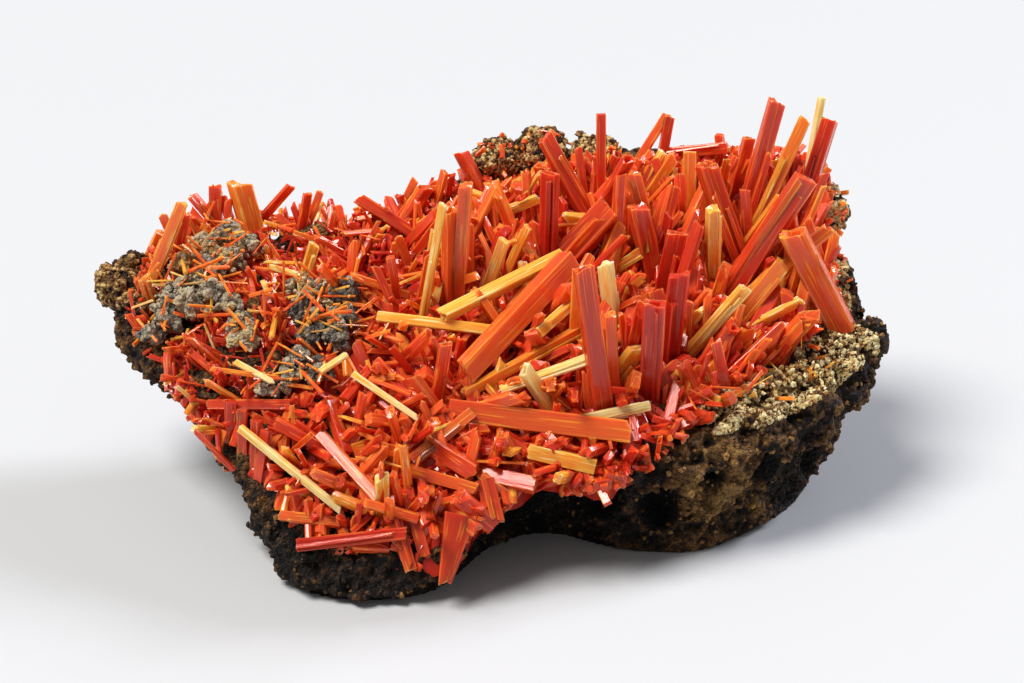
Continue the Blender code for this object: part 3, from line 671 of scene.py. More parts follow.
# The thicket's stretches: middle and spread in plan, the crystals' lean, lengths, widths and splay
STRETCHES = [
    ((13.0, 6.5), (12.0, 9.0), (0.10, 0.35, 1.0), (6.0, 11.0), (0.80, 1.80), 0.26),
    ((-1.0, 3.0), (8.0, 8.0), (0.15, 0.30, 0.7), (4.5, 8.5), (0.70, 1.50), 0.50),
    ((-2.0, -13.0), (14.0, 7.0), (0.0, 0.10, 0.3), (3.0, 6.0), (0.80, 1.50), 0.70),
    ((-21.0, 0.0), (12.0, 12.0), (-0.25, 0.25, 0.8), (2.4, 4.8), (0.24, 0.70), 0.60),
]


def stretch_at(x, y):
    """The lean, lengths, widths and splay of crystals at a plan point, blended from STRETCHES."""
    weights = []
    for (mx, my), (sx, sy), *_ in STRETCHES:
        weights.append(math.exp(-(((x - mx) / sx) ** 2) - ((y - my) / sy) ** 2) + 1e-6)
    total = sum(weights)
    lean, lengths, widths = (
        [sum(w * s[part][k] for w, s in zip(weights, STRETCHES)) / total for k in range(size)]
        for part, size in ((2, 3), (3, 2), (4, 2))
    )
    splay = sum(w * s[5] for w, s in zip(weights, STRETCHES)) / total
    return Vector(lean), lengths, widths, splay


def carpet_spot(rng, margin=1.01):
    """A random plan point of the carpet."""
    while True:
        spot = Vector((rng.uniform(*CARPET_WIDTH), rng.uniform(*CARPET_DEPTH)))
        if inside(spot * margin, CARPET_OUTLINE):
            return spot


# How crystals lean outward from the middle, and the least upward part of their direction
OUTWARD_SPAN = (34, 22)
OUTWARD_FRONT = -6
OUTWARD_LEAN = 0.35
LEAST_RISE = 0.12


def growing_way(spot, lean, splay, rng):
    """The direction in which a crystal grows from a plan point of the carpet."""
    outward = Vector((spot.x / OUTWARD_SPAN[0], max(spot.y, OUTWARD_FRONT) / OUTWARD_SPAN[1], 0))
    way = lean + outward * OUTWARD_LEAN + scatter(rng, splay)
    if way.z < LEAST_RISE:
        way.z = LEAST_RISE + 0.5 * abs(way.z)
    return way.normalized()


# The middle and spread of most crystals' tones
COMMON_TONE = (0.27, 0.07)


def common_tone(rng, pale_share):
    """Mostly orange-red, now and then gold or pale."""
    if rng.random() < pale_share:
        return rng.uniform(ORANGE, PALE)
    return min(max(rng.gauss(*COMMON_TONE), 0.06), 0.5)


SPRAY_COUNT = 330
SPRAY_TRIES = 40
SPRAY_SPACING = 1.7
SPRAY_SIZES = (2, 3, 3, 4)
SPRAY_REACH = 0.75
SPRAY_FAN = 0.24
SPRAY_LENGTH = (0.55, 1.0)
SPRAY_WIDTHS = (0.5, 0.75, 1.0, 1.0)
SPRAY_HOLLOW = 0.12
PALE_SHARE, PALER = 0.06, 0.35
FOOT_RAISE = 0.3
SINK = 0.8


def sprays(batch, rng):
    """Sprays of prisms that fill the thicket up to about the large ones' shoulders."""
    spots = []
    for _ in range(SPRAY_TRIES * SPRAY_COUNT):
        spot = carpet_spot(rng, 1.03)
        if len(spots) < SPRAY_COUNT and all((spot - s).length > SPRAY_SPACING for s in spots):
            spots.append(spot)
    for spot in spots:
        lean, lengths, widths, splay = stretch_at(spot.x, spot.y)
        middle = growing_way(spot, lean, splay, rng)
        shade = common_tone(rng, 0.0)
        for _ in range(rng.choice(SPRAY_SIZES)):
            x = spot.x + rng.gauss(0, SPRAY_REACH)
            y = spot.y + rng.gauss(0, SPRAY_REACH)
            foot = raised(x, y, FOOT_RAISE)
            way = (middle + scatter(rng, SPRAY_FAN)).normalized()
            length = rng.uniform(*lengths) * rng.uniform(*SPRAY_LENGTH)
            width = rng.uniform(*widths) * rng.choice(SPRAY_WIDTHS)
            tip = fitted(foot, foot + way * length)
            if tip is None:
                continue
            tone = shade + rng.gauss(0, 0.06) + (PALER if rng.random() < PALE_SHARE else 0.0)
            root, hollow = foot - way * SINK, rng.random() < SPRAY_HOLLOW
            add_crystal(batch, root, tip, width, tone, rng, MEDIUM_SIDE, hollow=hollow)


# The prisms behind each tall one: how tall it is, and their number, places, lengths and widths
BEHIND_FROM = 5.0
BEHIND_COUNT = 3
BEHIND_PLACE = (0.8, 3.4)
BEHIND_LENGTH = (0.5, 0.95)
BEHIND_WIDTH = (0.45, 0.85)


def companions(batch, rng):
    """Slimmer prisms that grow behind the tall standing ones, nearly parallel to them."""
    for foot, tip, width, tone, _ in crystal_ends()[:len(STANDING)]:
        length = (tip - foot).length
        if length < BEHIND_FROM:
            continue
        axis = (tip - foot) / length
        for _ in range(BEHIND_COUNT):
            x, y = foot.x + rng.gauss(0, 1.0), foot.y + rng.uniform(*BEHIND_PLACE)
            start = raised(x, y, FOOT_RAISE)
            way = axis + scatter(rng, 0.10) + Vector((0, 0.08, 0))
            end = fitted(start, start + way.normalized() * length * rng.uniform(*BEHIND_LENGTH))
            if end is not None:
                slim = width * rng.uniform(*BEHIND_WIDTH)
                add_crystal(batch, start - axis, end, slim, tone - 0.04, rng, MEDIUM_SIDE)


SMALL_COUNT = 2200
SMALL_SHARE = (0.14, 0.42)
SMALL_SLIMNESS = 0.50
SMALL_RAISE = (-0.2, 0.8)
SMALL_SPLAY = 1.3


def small_crystals(rng):
    """Batches of the small crystals between the large ones."""
    batches = [Batch(), Batch()]
    for i in range(SMALL_COUNT):
        spot = carpet_spot(rng)
        lean, lengths, widths, splay = stretch_at(spot.x, spot.y)
        foot = raised(spot.x, spot.y, rng.uniform(*SMALL_RAISE))
        way = growing_way(spot, lean, splay * SMALL_SPLAY, rng)
        length = lengths[1] * rng.uniform(*SMALL_SHARE)
        width = rng.uniform(*widths) * SMALL_SLIMNESS
        tip = fitted(foot, foot + way * length)
        tone = common_tone(rng, 0.04)
        if tip is not None:
            # A deeper red than their tone, a painted shade of the depths between the large crystals.
            add_crystal(batches[i % 2], foot, tip, width, tone - 0.12, rng, bevel=0.20)
    return batches


TABLET_COUNT = 150
TABLET_MIDDLE = (-5.0, -13.0)
TABLET_SPREAD = (8.5, 3.6)
TABLET_RAISE = (0.3, 1.6)
TABLET_LENGTH = (2.0, 4.4)
TABLET_WIDTH = (0.7, 1.3)


def tablets(batch, rng):
    """Stubby crystals heaped on the low front of the thicket."""
    for _ in range(TABLET_COUNT):
        spot = Vector([rng.gauss(*place) for place in zip(TABLET_MIDDLE, TABLET_SPREAD)])
        if not inside(spot * 1.02, CARPET_OUTLINE):
            continue
        foot = raised(spot.x, spot.y, rng.uniform(*TABLET_RAISE))
        way = growing_way(spot, Vector((0, 0, 0.3)), 1.0, rng)
        tip = fitted(foot, foot + way * rng.uniform(*TABLET_LENGTH))
        tone = common_tone(rng, 0.06)
        if tip is not None:
            width = rng.uniform(*TABLET_WIDTH)
            add_crystal(batch, foot - way * 0.5, tip, width, tone - 0.06, rng, MEDIUM_SIDE, bevel=0.30)


EDGE_COUNT = 460
EDGE_PLACE = (0.94, 1.0)
EDGE_RAISE = (-0.6, 0.8)
EDGE_LENGTH = (1.6, 4.0)
EDGE_WIDTH = (0.45, 1.05)
EDGE_SPLAY = 0.32


def edge_crystals(batch, rng):
    """Crystals round the carpet's edge, which hang over it along the front."""
    edge = smooth_loop(CARPET_OUTLINE, CARPET_STEPS)
    for _ in range(EDGE_COUNT):
        rim = rng.choice(edge)
        spot = rim * rng.uniform(*EDGE_PLACE)
        droop = min(max((-spot.y - 0.25 * spot.x - 2) / 8, 0.0), 1.0)
        outward = Vector((spot.x, spot.y * 1.6, 0)).normalized()
        way = outward * 0.55 + Vector((0, 0, 0.75 - 1.65 * droop)) + scatter(rng, EDGE_SPLAY)
        way.normalize()
        foot = raised(spot.x, spot.y, rng.uniform(*EDGE_RAISE))
        tip = fitted(foot, foot + way * rng.uniform(*EDGE_LENGTH))
        tone = common_tone(rng, 0.05)
        if tip is not None:
            width = rng.uniform(*EDGE_WIDTH)
            add_crystal(batch, foot - way * SINK, tip, width, tone, rng, bevel=0.22)


STRAW_COUNT = 170
STRAW_PLACE = (-12, 16)
STRAW_LENGTH = (2.0, 5.5)
STRAW_WIDTH = (0.18, 0.45)
STRAW_RAISE = (1.0, 2.6)
STRAW_CLEARANCE = 0.6


def straws(batch, rng):
    """Slim needles that lie criss-cross on the thicket, mostly on its left half."""
    for _ in range(STRAW_COUNT):
        spot = carpet_spot(rng, 1.08)
        if spot.x > rng.uniform(*STRAW_PLACE):
            continue
        heading = rng.uniform(0, 2 * math.pi)
        length = rng.uniform(*STRAW_LENGTH)
        half = Vector((math.cos(heading), math.sin(heading), rng.gauss(0, 0.25))) * length / 2
        middle = raised(spot.x, spot.y, rng.uniform(*STRAW_RAISE))
        ends = [middle - half, middle + half]
        for end in ends:
            end.z = max(end.z, surface_height(end.x, end.y) + STRAW_CLEARANCE)
        tone = rng.choice((WARM, WARM, ORANGE, ORANGE, GOLD, PALE))
        tip = fitted(*ends)
        if tip is not None:
            add_crystal(batch, ends[0], tip, rng.uniform(*STRAW_WIDTH), tone, rng)


# The druse: its height, its rings, how far it falls at the edge, and its bumps' sizes and heights
DRUSE_RAISE = 0.3
DRUSE_RINGS = 40
DRUSE_FALL = 1.6
DRUSE_BUMPS = ((1.5, 0.9), (0.7, 0.5))


def make_druse(material):
    """The crust of grown-together crystal bases under the thicket."""
    edge = [p * 0.95 for p in smooth_loop(CARPET_OUTLINE, CARPET_STEPS)]
    count = len(edge)
    corners = [raised(0, 0, DRUSE_RAISE)]
    faces = [(0, 1 + (i + 1) % count, 1 + i) for i in range(count)]
    for ring in range(1, DRUSE_RINGS + 1):
        share = ring / DRUSE_RINGS
        drop = DRUSE_FALL * share**14
        for p in edge:
            place = Vector((p.x * share, p.y * share, 0))
            bumps = sum(height * noise.noise(place / size) for size, height in DRUSE_BUMPS)
            place.z = surface_height(place.x, place.y) + DRUSE_RAISE - drop + bumps
            corners.append(place)
        if ring < DRUSE_RINGS:
            faces += band(1 + (ring - 1) * count, 1 + ring * count, count)
    values = [noise.noise(c / 2.0) * 0.5 for c in corners]
    batch = Batch()
    batch.add(corners, faces, [0.10] * len(corners), [0.5] * len(corners), values)
    batch.piece("druse", material, "crocoite")


def rough_offset(point):
    """A small displacement that makes the rock uneven."""
    offset = Vector((0, 0, 0))
    for size, height in ROUGHNESS:
        for axis, shift in enumerate(ROUGHNESS_SHIFTS):
            offset[axis] += noise.noise(point / size + shift) * height
    return offset


def rock_rings():
    """The gossan block's rings from the top's middle to the foot's."""
    rim = smooth_loop(ROCK_OUTLINE, ROCK_STEPS)
    foot = smooth_loop(ROCK_FOOT, ROCK_STEPS)
    rings = []
    for share in TOP_RINGS:
        drop = EDGE_ROUNDING if share == 1.0 else 0.0
        ring = [Vector((p.x * share, p.y * share, 0)) for p in rim]
        for p in ring:
            p.z = surface_height(p.x, p.y) - drop
            p += rough_offset(p) * TOP_ROUGHNESS
        rings.append(ring)
    for out, up in WALL_RINGS:
        ring = []
        for r, f in zip(rim, foot):
            flat = f.lerp(r, out)
            p = Vector((flat.x, flat.y, (surface_height(r.x, r.y) - EDGE_ROUNDING) * up))
            ring.append(p + rough_offset(p) * min(1.0, 2 * up))
        rings.append(ring)
    for share in (1.0, 0.5):
        rings.append([Vector((p.x * share, p.y * share, 0)) for p in foot])
    return rings


def ring_faces(count, rings):
    """The faces of a block made of rings, closed by a corner at its top and one at its foot."""
    faces = []
    for level in range(rings - 1):
        upper = 1 + level * count
        faces += band(upper, upper + count, count)
    last = 1 + (rings - 1) * count
    for i in range(count):
        j = (i + 1) % count
        faces += [(0, 1 + j, 1 + i), (last + i, last + j, 1 + rings * count)]
    return faces


def rock_form():
    """The gossan block's plain form, remeshed finely."""
    rings = rock_rings()
    corners = [raised(0, 0, 0)]
    for ring in rings:
        corners.extend(ring)
    corners.append(Vector((0, 0, 0)))
    block = bmesh.new()
    for c in corners:
        block.verts.new(c)
    block.verts.ensure_lookup_table()
    for face in ring_faces(len(rings[0]), len(rings)):
        block.faces.new([block.verts[i] for i in face])
    for x, y, raise_by, radius in ROCK_LUMPS:
        place = Matrix.Translation(raised(x, y, raise_by))
        bmesh.ops.create_icosphere(block, subdivisions=3, radius=radius, matrix=place)
    mesh = bpy.data.meshes.new("gossan")
    block.to_mesh(mesh)
    block.free()
    rough = linked("rock_form", mesh)
    remesh = rough.modifiers.new("remesh", "REMESH")
    remesh.mode = "VOXEL"
    remesh.voxel_size = ROCK_VOXEL
    bpy.context.view_layer.update()
    seen = rough.evaluated_get(bpy.context.evaluated_depsgraph_get())
    fine = bpy.data.meshes.new_from_object(seen)
    bpy.data.objects.remove(rough)
    return fine


# The rock's skin: the size and height of its ledges, knobs and grains, and its pits' spacing,
# depth and reach
SKIN_LEDGES = (5.5, 0.40)
SKIN_KNOBS = (2.4, 0.60)
SKIN_GRAINS = ((0.9, 0.34), (0.5, 0.30))
SKIN_PITS = (2.6, 2.4, 0.34)
PIT_REACH = 1.25
PIT_DEPTH = 2.0
SMOOTH_FOOT = 1.2


def rock_height(place):
    """How far the rock's skin stands out at a place, from grains to ledges."""
    size, height = SKIN_LEDGES
    ledges = noise.ridged_multi_fractal(place / size, 0.9, 2.1, 3, 1.0, 2.0) * height - height
    size, height = SKIN_KNOBS
    knobs = noise.fractal(place / size, 0.8, 2.1, 3) * height
    grains = sum(noise.noise(place / size) * height for size, height in SKIN_GRAINS)
    spacing, depth, reach = SKIN_PITS
    pits = -depth * max(0.0, reach - noise.voronoi(place / spacing)[0][0])
    return ledges + knobs + grains + pits


def ochre_and_painted_shade(place):
    """How much more ochre the rock is at a place, and how much painted shade darkens it."""
    return sum(
        amount * math.exp(-(((place - middle).length / reach) ** 2))
        for middle, reach, amount in ROCK_OCHRE_AND_PAINTED_SHADE
    )


def make_rock(material):
    """The gossan block, roughened from ledges down to grains and painted darker in its hollows as
    shade: its places and faces.
    """
    fine = rock_form()
    places, heights_with_painted_shade = [], []
    for vertex in fine.vertices:
        place = vertex.co.copy()
        height = rock_height(place)
        for x, y, z, radius in ROCK_PITS:
            away = (place - Vector((x, y, z))).length / (radius * PIT_REACH)
            if away < 1:
                height -= PIT_DEPTH * radius * (1 - away * away)
        # The colour follows this rise: lower is darker, a painted shade in the pits and hollows, plus
        # the ochre patches and the painted shade of the front.
        heights_with_painted_shade.append(height + ochre_and_painted_shade(place))
        place += vertex.normal * height * min(1.0, place.z / SMOOTH_FOOT)
        place.z = max(place.z, 0.0)
        places.append(place)
    faces = [tuple(p.vertices) for p in fine.polygons]
    flat = [0.0] * len(places)
    batch = Batch()
    batch.add(places, faces, flat, heights_with_painted_shade, flat)
    rock = batch.piece("gossan_block", material, "gossan")
    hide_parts("gossan_matrix")
    return places, faces


def grain_form(subdivisions):
    """A round form that grains are made from."""
    shape = bmesh.new()
    bmesh.ops.create_icosphere(shape, subdivisions=subdivisions, radius=1.0)
    corners = [v.co.copy() for v in shape.verts]
    faces = [tuple(v.index for v in f.verts) for f in shape.faces]
    shape.free()
    return corners, faces


FINE_GRAIN, GRAIN, KNOB = (grain_form(level) for level in (1, 2, 4))


def add_grain(batch, form, centre, radius, tone, rng):
    """One uneven grain or knob."""
    axis = Vector((rng.random(), rng.random(), 1)).normalized()
    turn = Matrix.Rotation(rng.uniform(0, math.pi), 3, axis)
    sizes = Vector([radius * rng.uniform(0.7, 1.2) for _ in range(3)])
    shift = Vector([rng.uniform(0, 90) for _ in range(3)])
    corners = []
    for c in form[0]:
        bump = 1 + 0.6 * noise.noise(c * 1.4 + shift)
        if form is KNOB:
            bump += 0.34 * noise.noise(c * 4.0 + shift) + 0.20 * noise.noise(c * 9.0 + shift)
        corners.append(centre + turn @ Vector([c[i] * sizes[i] * bump for i in range(3)]))
    flat = [0.0] * len(corners)
    batch.add(corners, form[1], [tone] * len(corners), flat, flat)


# A lump of crust: its knobs' number and sizes, then its grains' forms, numbers and sizes
KNOB_COUNT = 2
KNOB_SIZE = (0.32, 0.58)
LUMP_GRAINS = ((GRAIN, 9, (0.26, 0.52)), (FINE_GRAIN, 34, (0.12, 0.28)))
LUMP_REACH = (0.55, 1.04)
LUMP_TONE_SPREAD = 0.14


def crust_batch(lumps, tones, rng):
    """Knobs and grains heaped into the lumps of one patch of crust."""
    batch = Batch()
    for pixel, radius, raise_by in lumps:
        centre = on_surface(pixel, raise_by)
        shade = rng.uniform(*tones)
        for _ in range(KNOB_COUNT):
            way = Vector([rng.gauss(0, 0.4), rng.gauss(0, 0.4), rng.gauss(0.15, 0.2)]) * radius
            add_grain(batch, KNOB, centre + way, radius * rng.uniform(*KNOB_SIZE), shade, rng)
        for form, count, sizes in LUMP_GRAINS:
            for _ in range(count):
                way = scatter(rng, 1).normalized()
                if way.z < -0.3:
                    way.z = -way.z
                size = rng.uniform(*sizes)
                place = centre + way * (radius - size * 0.5) * rng.uniform(*LUMP_REACH)
                add_grain(batch, form, place, size, shade + rng.gauss(0, LUMP_TONE_SPREAD), rng)
    return batch


CRUST_NEEDLES = 9
RIM_NEEDLES = 4
NEEDLE_LENGTH = (1.0, 3.4)
NEEDLE_WIDTH = (0.12, 0.34)
NEEDLE_SPREAD = 0.7
NEEDLE_RAISE = Vector((0, 0, 0.6))


def crust_needles(batch, lumps, count, rng):
    """Fine needles that grow through and across a patch of crust."""
    for pixel, radius, raise_by in lumps:
        centre = on_surface(pixel, raise_by)
        for _ in range(count):
            way = Vector([rng.gauss(0, 1), rng.gauss(0, 1), abs(rng.gauss(0, 0.6))]).normalized()
            shift = scatter(rng, NEEDLE_SPREAD) * radius
            middle = centre + shift + NEEDLE_RAISE
            half = way * rng.uniform(*NEEDLE_LENGTH) / 2
            tone = rng.choice((WARM, ORANGE, ORANGE, GOLD))
            width = rng.uniform(*NEEDLE_WIDTH)
            add_crystal(batch, middle - half, middle + half, width, tone, rng, bevel=0.15)


def pixel_near(patch, rng):
    """A random pixel of the box around a patch."""
    columns, rows = zip(*patch)
    return rng.uniform(min(columns), max(columns)), rng.uniform(min(rows), max(rows))


def patch_grains(tree, patch, count, sizes, tones, rng):
    """Fine sugary grains on the bare rock that is seen within a patch."""
    batch = Batch()
    grain_faces = len(FINE_GRAIN[1])
    left = count * grain_faces
    while left > 0:
        pixel = pixel_near(patch, rng)
        if not inside(pixel, patch):
            continue
        place = tree.ray_cast(EYE, eye_ray(pixel))[0]
        if place is None:
            left -= 1
        elif rng.random() * 0.7 < noise.noise(place / 1.4) + 0.25:
            add_grain(batch, FINE_GRAIN, place, rng.uniform(*sizes), rng.uniform(*tones), rng)
            left -= grain_faces
    return batch


PLATE_COUNT = 70
PLATE_LENGTH = (0.3, 1.0)
PLATE_WIDTH = (0.20, 0.55)
PLATE_SPLAY = 0.8


def plates(batch, tree, patch, rng):
    """Small plates of crocoite scattered on the bare rock that is seen within a patch."""
    for _ in range(PLATE_COUNT):
        pixel = pixel_near(patch, rng)
        place, normal, *_ = tree.ray_cast(EYE, eye_ray(pixel))
        if place is None or not inside(pixel, patch):
            continue
        way = (normal + scatter(rng, PLATE_SPLAY)).normalized()
        tip = place + way * rng.uniform(*PLATE_LENGTH)
        tone = rng.choice((RED, WARM, WARM, ORANGE))
        width = rng.uniform(*PLATE_WIDTH)
        add_crystal(batch, place - way * 0.5, tip, width, tone, rng)


ROCK_GRAINS = 8000
ROCK_GRAIN_SIZES = (0.10, 0.34)
GRAINS_FROM = 0.5
CARPET_THICKNESS = 1.5


def rock_grains(places, faces, rng):
    """Fine grains all over the rock that crystals leave bare."""
    batch = Batch()
    for _ in range(ROCK_GRAINS):
        face = rng.choice(faces)
        place = places[face[0]]
        if place.z < GRAINS_FROM:
            continue
        on_top = place.z > surface_height(place.x, place.y) - CARPET_THICKNESS
        if on_top and inside((place.x, place.y), CARPET_OUTLINE):
            continue
        size = rng.uniform(*ROCK_GRAIN_SIZES) * rng.uniform(0.6, 1.0)
        # Random tone, plus the rock's ochre patches and the painted shade of its front.
        tone = 0.9 * rng.random() ** 2 + ochre_and_painted_shade(place)
        add_grain(batch, FINE_GRAIN, place, size, tone, rng)
    return batch


class Recipe:
    """A new material, with short ways to add nodes to it and join them."""

    def __init__(self, name):
        self.material = bpy.data.materials.new(name)
        self.material.use_nodes = True
        self.nodes = self.material.node_tree.nodes
        self.shader = self.nodes["Principled BSDF"]

    def fill(self, node, inputs):
        """Gives a node's inputs their values, or joins them to other nodes' outputs."""
        for key, value in inputs.items():
            if isinstance(value, bpy.types.NodeSocket):
                self.material.node_tree.links.new(value, node.inputs[key])
            else:
                node.inputs[key].default_value = value

    def add(self, kind, inputs, **settings):
        """A new node with its settings and inputs."""
        node = self.nodes.new("ShaderNode" + kind)
        for key, value in settings.items():
            setattr(node, key, value)
        self.fill(node, inputs)
        return node

    def read(self, label):
        """A value that the mesh carries."""
        return self.add("Attribute", {}, attribute_name=label).outputs["Fac"]

    def math(self, operation, *values):
        """The outcome of a sum or a product."""
        return self.add("Math", dict(enumerate(values)), operation=operation).outputs["Value"]

    def noise(self, where, scale, detail, **others):
        """Uneven values from 0 to 1 over a place."""
        inputs = {"Vector": where, "Scale": scale, "Detail": detail, **others}
        return self.add("TexNoise", inputs).outputs["Fac"]

    def spread(self, value, start, end, low, high, **settings):
        """A value whose range from start to end is spread from low to high."""
        inputs = {"Value": value, "From Min": start, "From Max": end, "To Min": low, "To Max": high}
        return self.add("MapRange", inputs, **settings).outputs["Result"]

    def colours(self, value, stops):
        """The colour at a value, blended between stops."""
        node = self.add("ValToRGB", {"Fac": value})
        elements = node.color_ramp.elements
        while len(elements) < len(stops):
            elements.new(0.5)
        for element, (place, colour) in zip(elements, stops):
            element.position = place
            element.color = (*colour, 1.0)
        return node.outputs["Color"]

    def bump(self, strength, distance, height, **settings):
        """A surface made uneven by a height."""
        inputs = {"Strength": strength, "Distance": distance, "Height": height}
        return self.add("Bump", inputs, **settings).outputs["Normal"]


CROCOITE_COLOURS = [
    (0.00, (0.32, 0.009, 0.005)), (0.20, (0.54, 0.026, 0.010)), (0.36, (0.70, 0.066, 0.017)),
    (0.52, (0.84, 0.16, 0.026)), (0.68, (0.95, 0.29, 0.030)), (0.84, (1.00, 0.48, 0.060)),
    (1.00, (1.00, 0.80, 0.34)),
]

# The colours of light thrown back off a crystal's faces, and of light that has passed through it
SHEEN = (1.0, 0.74, 0.70, 1.0)
THICK_COLOUR = (1.0, 0.32, 0.06, 1.0)


def crocoite_material(name, transmission, density, spread, glow):
    """Glassy crocoite: streaked along its length, with painted glints along it and a painted glow
    towards its tip, and deeper in colour where it is thick.
    """
    recipe = Recipe(name)
    tone, rise, across = (recipe.read(label) for label in ("tone", "rise", "across"))
    along = recipe.math("MULTIPLY", rise, 0.35)
    where = recipe.add("CombineXYZ", {"X": across, "Y": along}).outputs["Vector"]
    streaks = recipe.noise(where, 11.0, 2.0)
    swing = recipe.spread(streaks, 0.25, 0.75, -0.5, 0.5)
    contrast = recipe.math("MULTIPLY_ADD", tone, 0.42, -0.04)
    # Paler towards the tip, a painted glow at the crystals' ends.
    painted_tip_glow = recipe.math("MULTIPLY_ADD", rise, 0.10, tone)
    veil = recipe.spread(recipe.noise(where, 1.6, 4.0), 0.45, 0.80, 0.0, 0.10)
    clouded = recipe.math("ADD", painted_tip_glow, veil)
    streaked = recipe.math("MULTIPLY_ADD", swing, contrast, clouded)
    # Thin pale lines along the crystals, painted glints.
    glint_noise = recipe.noise(where, 7.0, 0.0)
    painted_glints = recipe.spread(glint_noise, 0.62, 0.70, 0.0, 0.24, interpolation_type="SMOOTHSTEP")
    recipe.fill(recipe.shader, {
        "Base Color": recipe.colours(recipe.math("ADD", streaked, painted_glints), CROCOITE_COLOURS),
        "Roughness": recipe.spread(streaks, 0.0, 1.0, 0.13, 0.24),
        "Normal": recipe.bump(0.25, 0.00006, streaks),
        "IOR": 1.9,
        "Specular IOR Level": 0.26,
        "Specular Tint": SHEEN,
        "Transmission Weight": transmission,
        "Subsurface Weight": glow,
        "Subsurface Radius": spread,
        "Subsurface Scale": 0.0011,
    })
    if transmission:
        absorb = recipe.add("VolumeAbsorption", {"Color": THICK_COLOUR, "Density": density})
        recipe.fill(recipe.nodes["Material Output"], {"Volume": absorb.outputs["Volume"]})
    return recipe.material


def stone_material(name, stops, scale, grains, strength, distance, attribute, share):
    """Dull, grainy stone in several colours that blend unevenly."""
    recipe = Recipe(name)
    where = recipe.add("TexCoord", {}).outputs["Object"]
    patches = recipe.noise(where, scale, 8.0, Roughness=0.65)
    # The mesh's value that the colour follows: for the gossan block its rise, darker in its hollows as
    # a painted shade.
    blend = {0: share, 2: patches, 3: recipe.read(attribute)}
    mixed = recipe.add("Mix", blend, data_type="FLOAT").outputs[0]
    grain = recipe.add("TexVoronoi", {"Vector": where, "Scale": grains, "Detail": 2.0})
    grain_shade = recipe.add("SeparateColor", {"Color": grain.outputs["Color"]}).outputs["Red"]
    speckled = recipe.math("ADD", mixed, recipe.spread(grain_shade, 0.0, 1.0, -0.16, 0.16))
    # Darker in scattered spots, a painted shade of small hollows.
    hollows = recipe.noise(where, grains * 0.42, 3.0)
    pit_shaded = recipe.math("ADD", speckled, recipe.spread(hollows, 0.36, 0.50, -0.22, 0.03))
    recipe.fill(recipe.shader, {
        "Base Color": recipe.colours(pit_shaded, stops),
        "Normal": recipe.bump(strength, distance, grain.outputs["Distance"], invert=True),
        "Roughness": 0.8,
        "Specular IOR Level": 0.3,
    })
    return recipe.material


GOSSAN_COLOURS = [
    (0.20, (0.006, 0.004, 0.003)), (0.32, (0.018, 0.010, 0.006)), (0.42, (0.048, 0.023, 0.010)),
    (0.52, (0.115, 0.050, 0.014)), (0.64, (0.220, 0.105, 0.027)), (0.80, (0.38, 0.21, 0.062)),
]
GREY_COLOURS = [
    (0.05, (0.022, 0.022, 0.023)), (0.28, (0.14, 0.125, 0.10)), (0.48, (0.34, 0.29, 0.21)),
    (0.68, (0.54, 0.46, 0.32)), (0.86, (0.62, 0.48, 0.22)), (1.00, (0.50, 0.22, 0.06)),
]
CREAM_COLOURS = [
    (0.15, (0.014, 0.010, 0.008)), (0.30, (0.15, 0.050, 0.014)), (0.44, (0.42, 0.22, 0.065)),
    (0.60, (0.62, 0.47, 0.19)), (0.85, (0.84, 0.74, 0.42)),
]


def make_camera():
    """The camera, which stands where the specimen was seen from."""
    data = bpy.data.cameras.new("camera")
    data.sensor_width = SENSOR_WIDTH
    data.lens = EYE_FOCAL / PICTURE[0] * SENSOR_WIDTH
    data.clip_start = 0.01
    camera = linked("camera", data)
    turn = Matrix((RIGHT, UP, -FORWARD)).transposed().to_4x4()
    camera.matrix_world = Matrix.Translation((EYE - SPECIMEN_MIDDLE) * MM) @ turn
    bpy.context.scene.camera = camera


# The studio in metres: the floor's half width, where lights aim, and the colours and strength of
# the floor and of the light from all round
FLOOR_REACH = 1.6
LIGHT_AIM = Vector((0, 0, 0.012))
FLOOR_COLOUR = (0.52, 0.525, 0.525, 1.0)
STUDIO_COLOUR = (0.95, 0.97, 1.0, 1.0)
STUDIO_STRENGTH = 0.26


def make_light(name, place, breadth, power, colour):
    """A broad, soft light from far off in the direction of a place."""
    data = bpy.data.lights.new(name, "SUN")
    data.angle = math.radians(breadth)
    data.energy = power
    data.color = colour
    light = linked(name, data)
    light.location = place
    light.rotation_euler = (LIGHT_AIM - Vector(place)).to_track_quat("-Z", "Y").to_euler()


def make_stage():
    """The pale floor and the studio's light."""
    bpy.context.scene.view_settings.view_transform = "Standard"
    mesh = bpy.data.meshes.new("floor")
    corners = [(x * FLOOR_REACH, y * FLOOR_REACH, 0) for x, y in ((-1, -1), (1, -1), (1, 1), (-1, 1))]
    mesh.from_pydata(corners, [], [(0, 1, 2, 3)])
    recipe = Recipe("floor")
    recipe.fill(recipe.shader, {"Base Color": FLOOR_COLOUR, "Roughness": 0.55})
    mesh.materials.append(recipe.material)
    floor = linked("floor", mesh)
    world = bpy.data.worlds.new("studio")
    bpy.context.scene.world = world
    world.use_nodes = True
    background = world.node_tree.nodes["Background"]
    background.inputs["Color"].default_value = STUDIO_COLOUR
    background.inputs["Strength"].default_value = STUDIO_STRENGTH
    make_light("key", (-0.30, -0.05, 0.55), 27.0, 4.1, (1.0, 0.98, 0.96))
    make_light("edge", (0.45, 0.30, 0.35), 18.0, 3.0, (0.86, 0.88, 1.0))


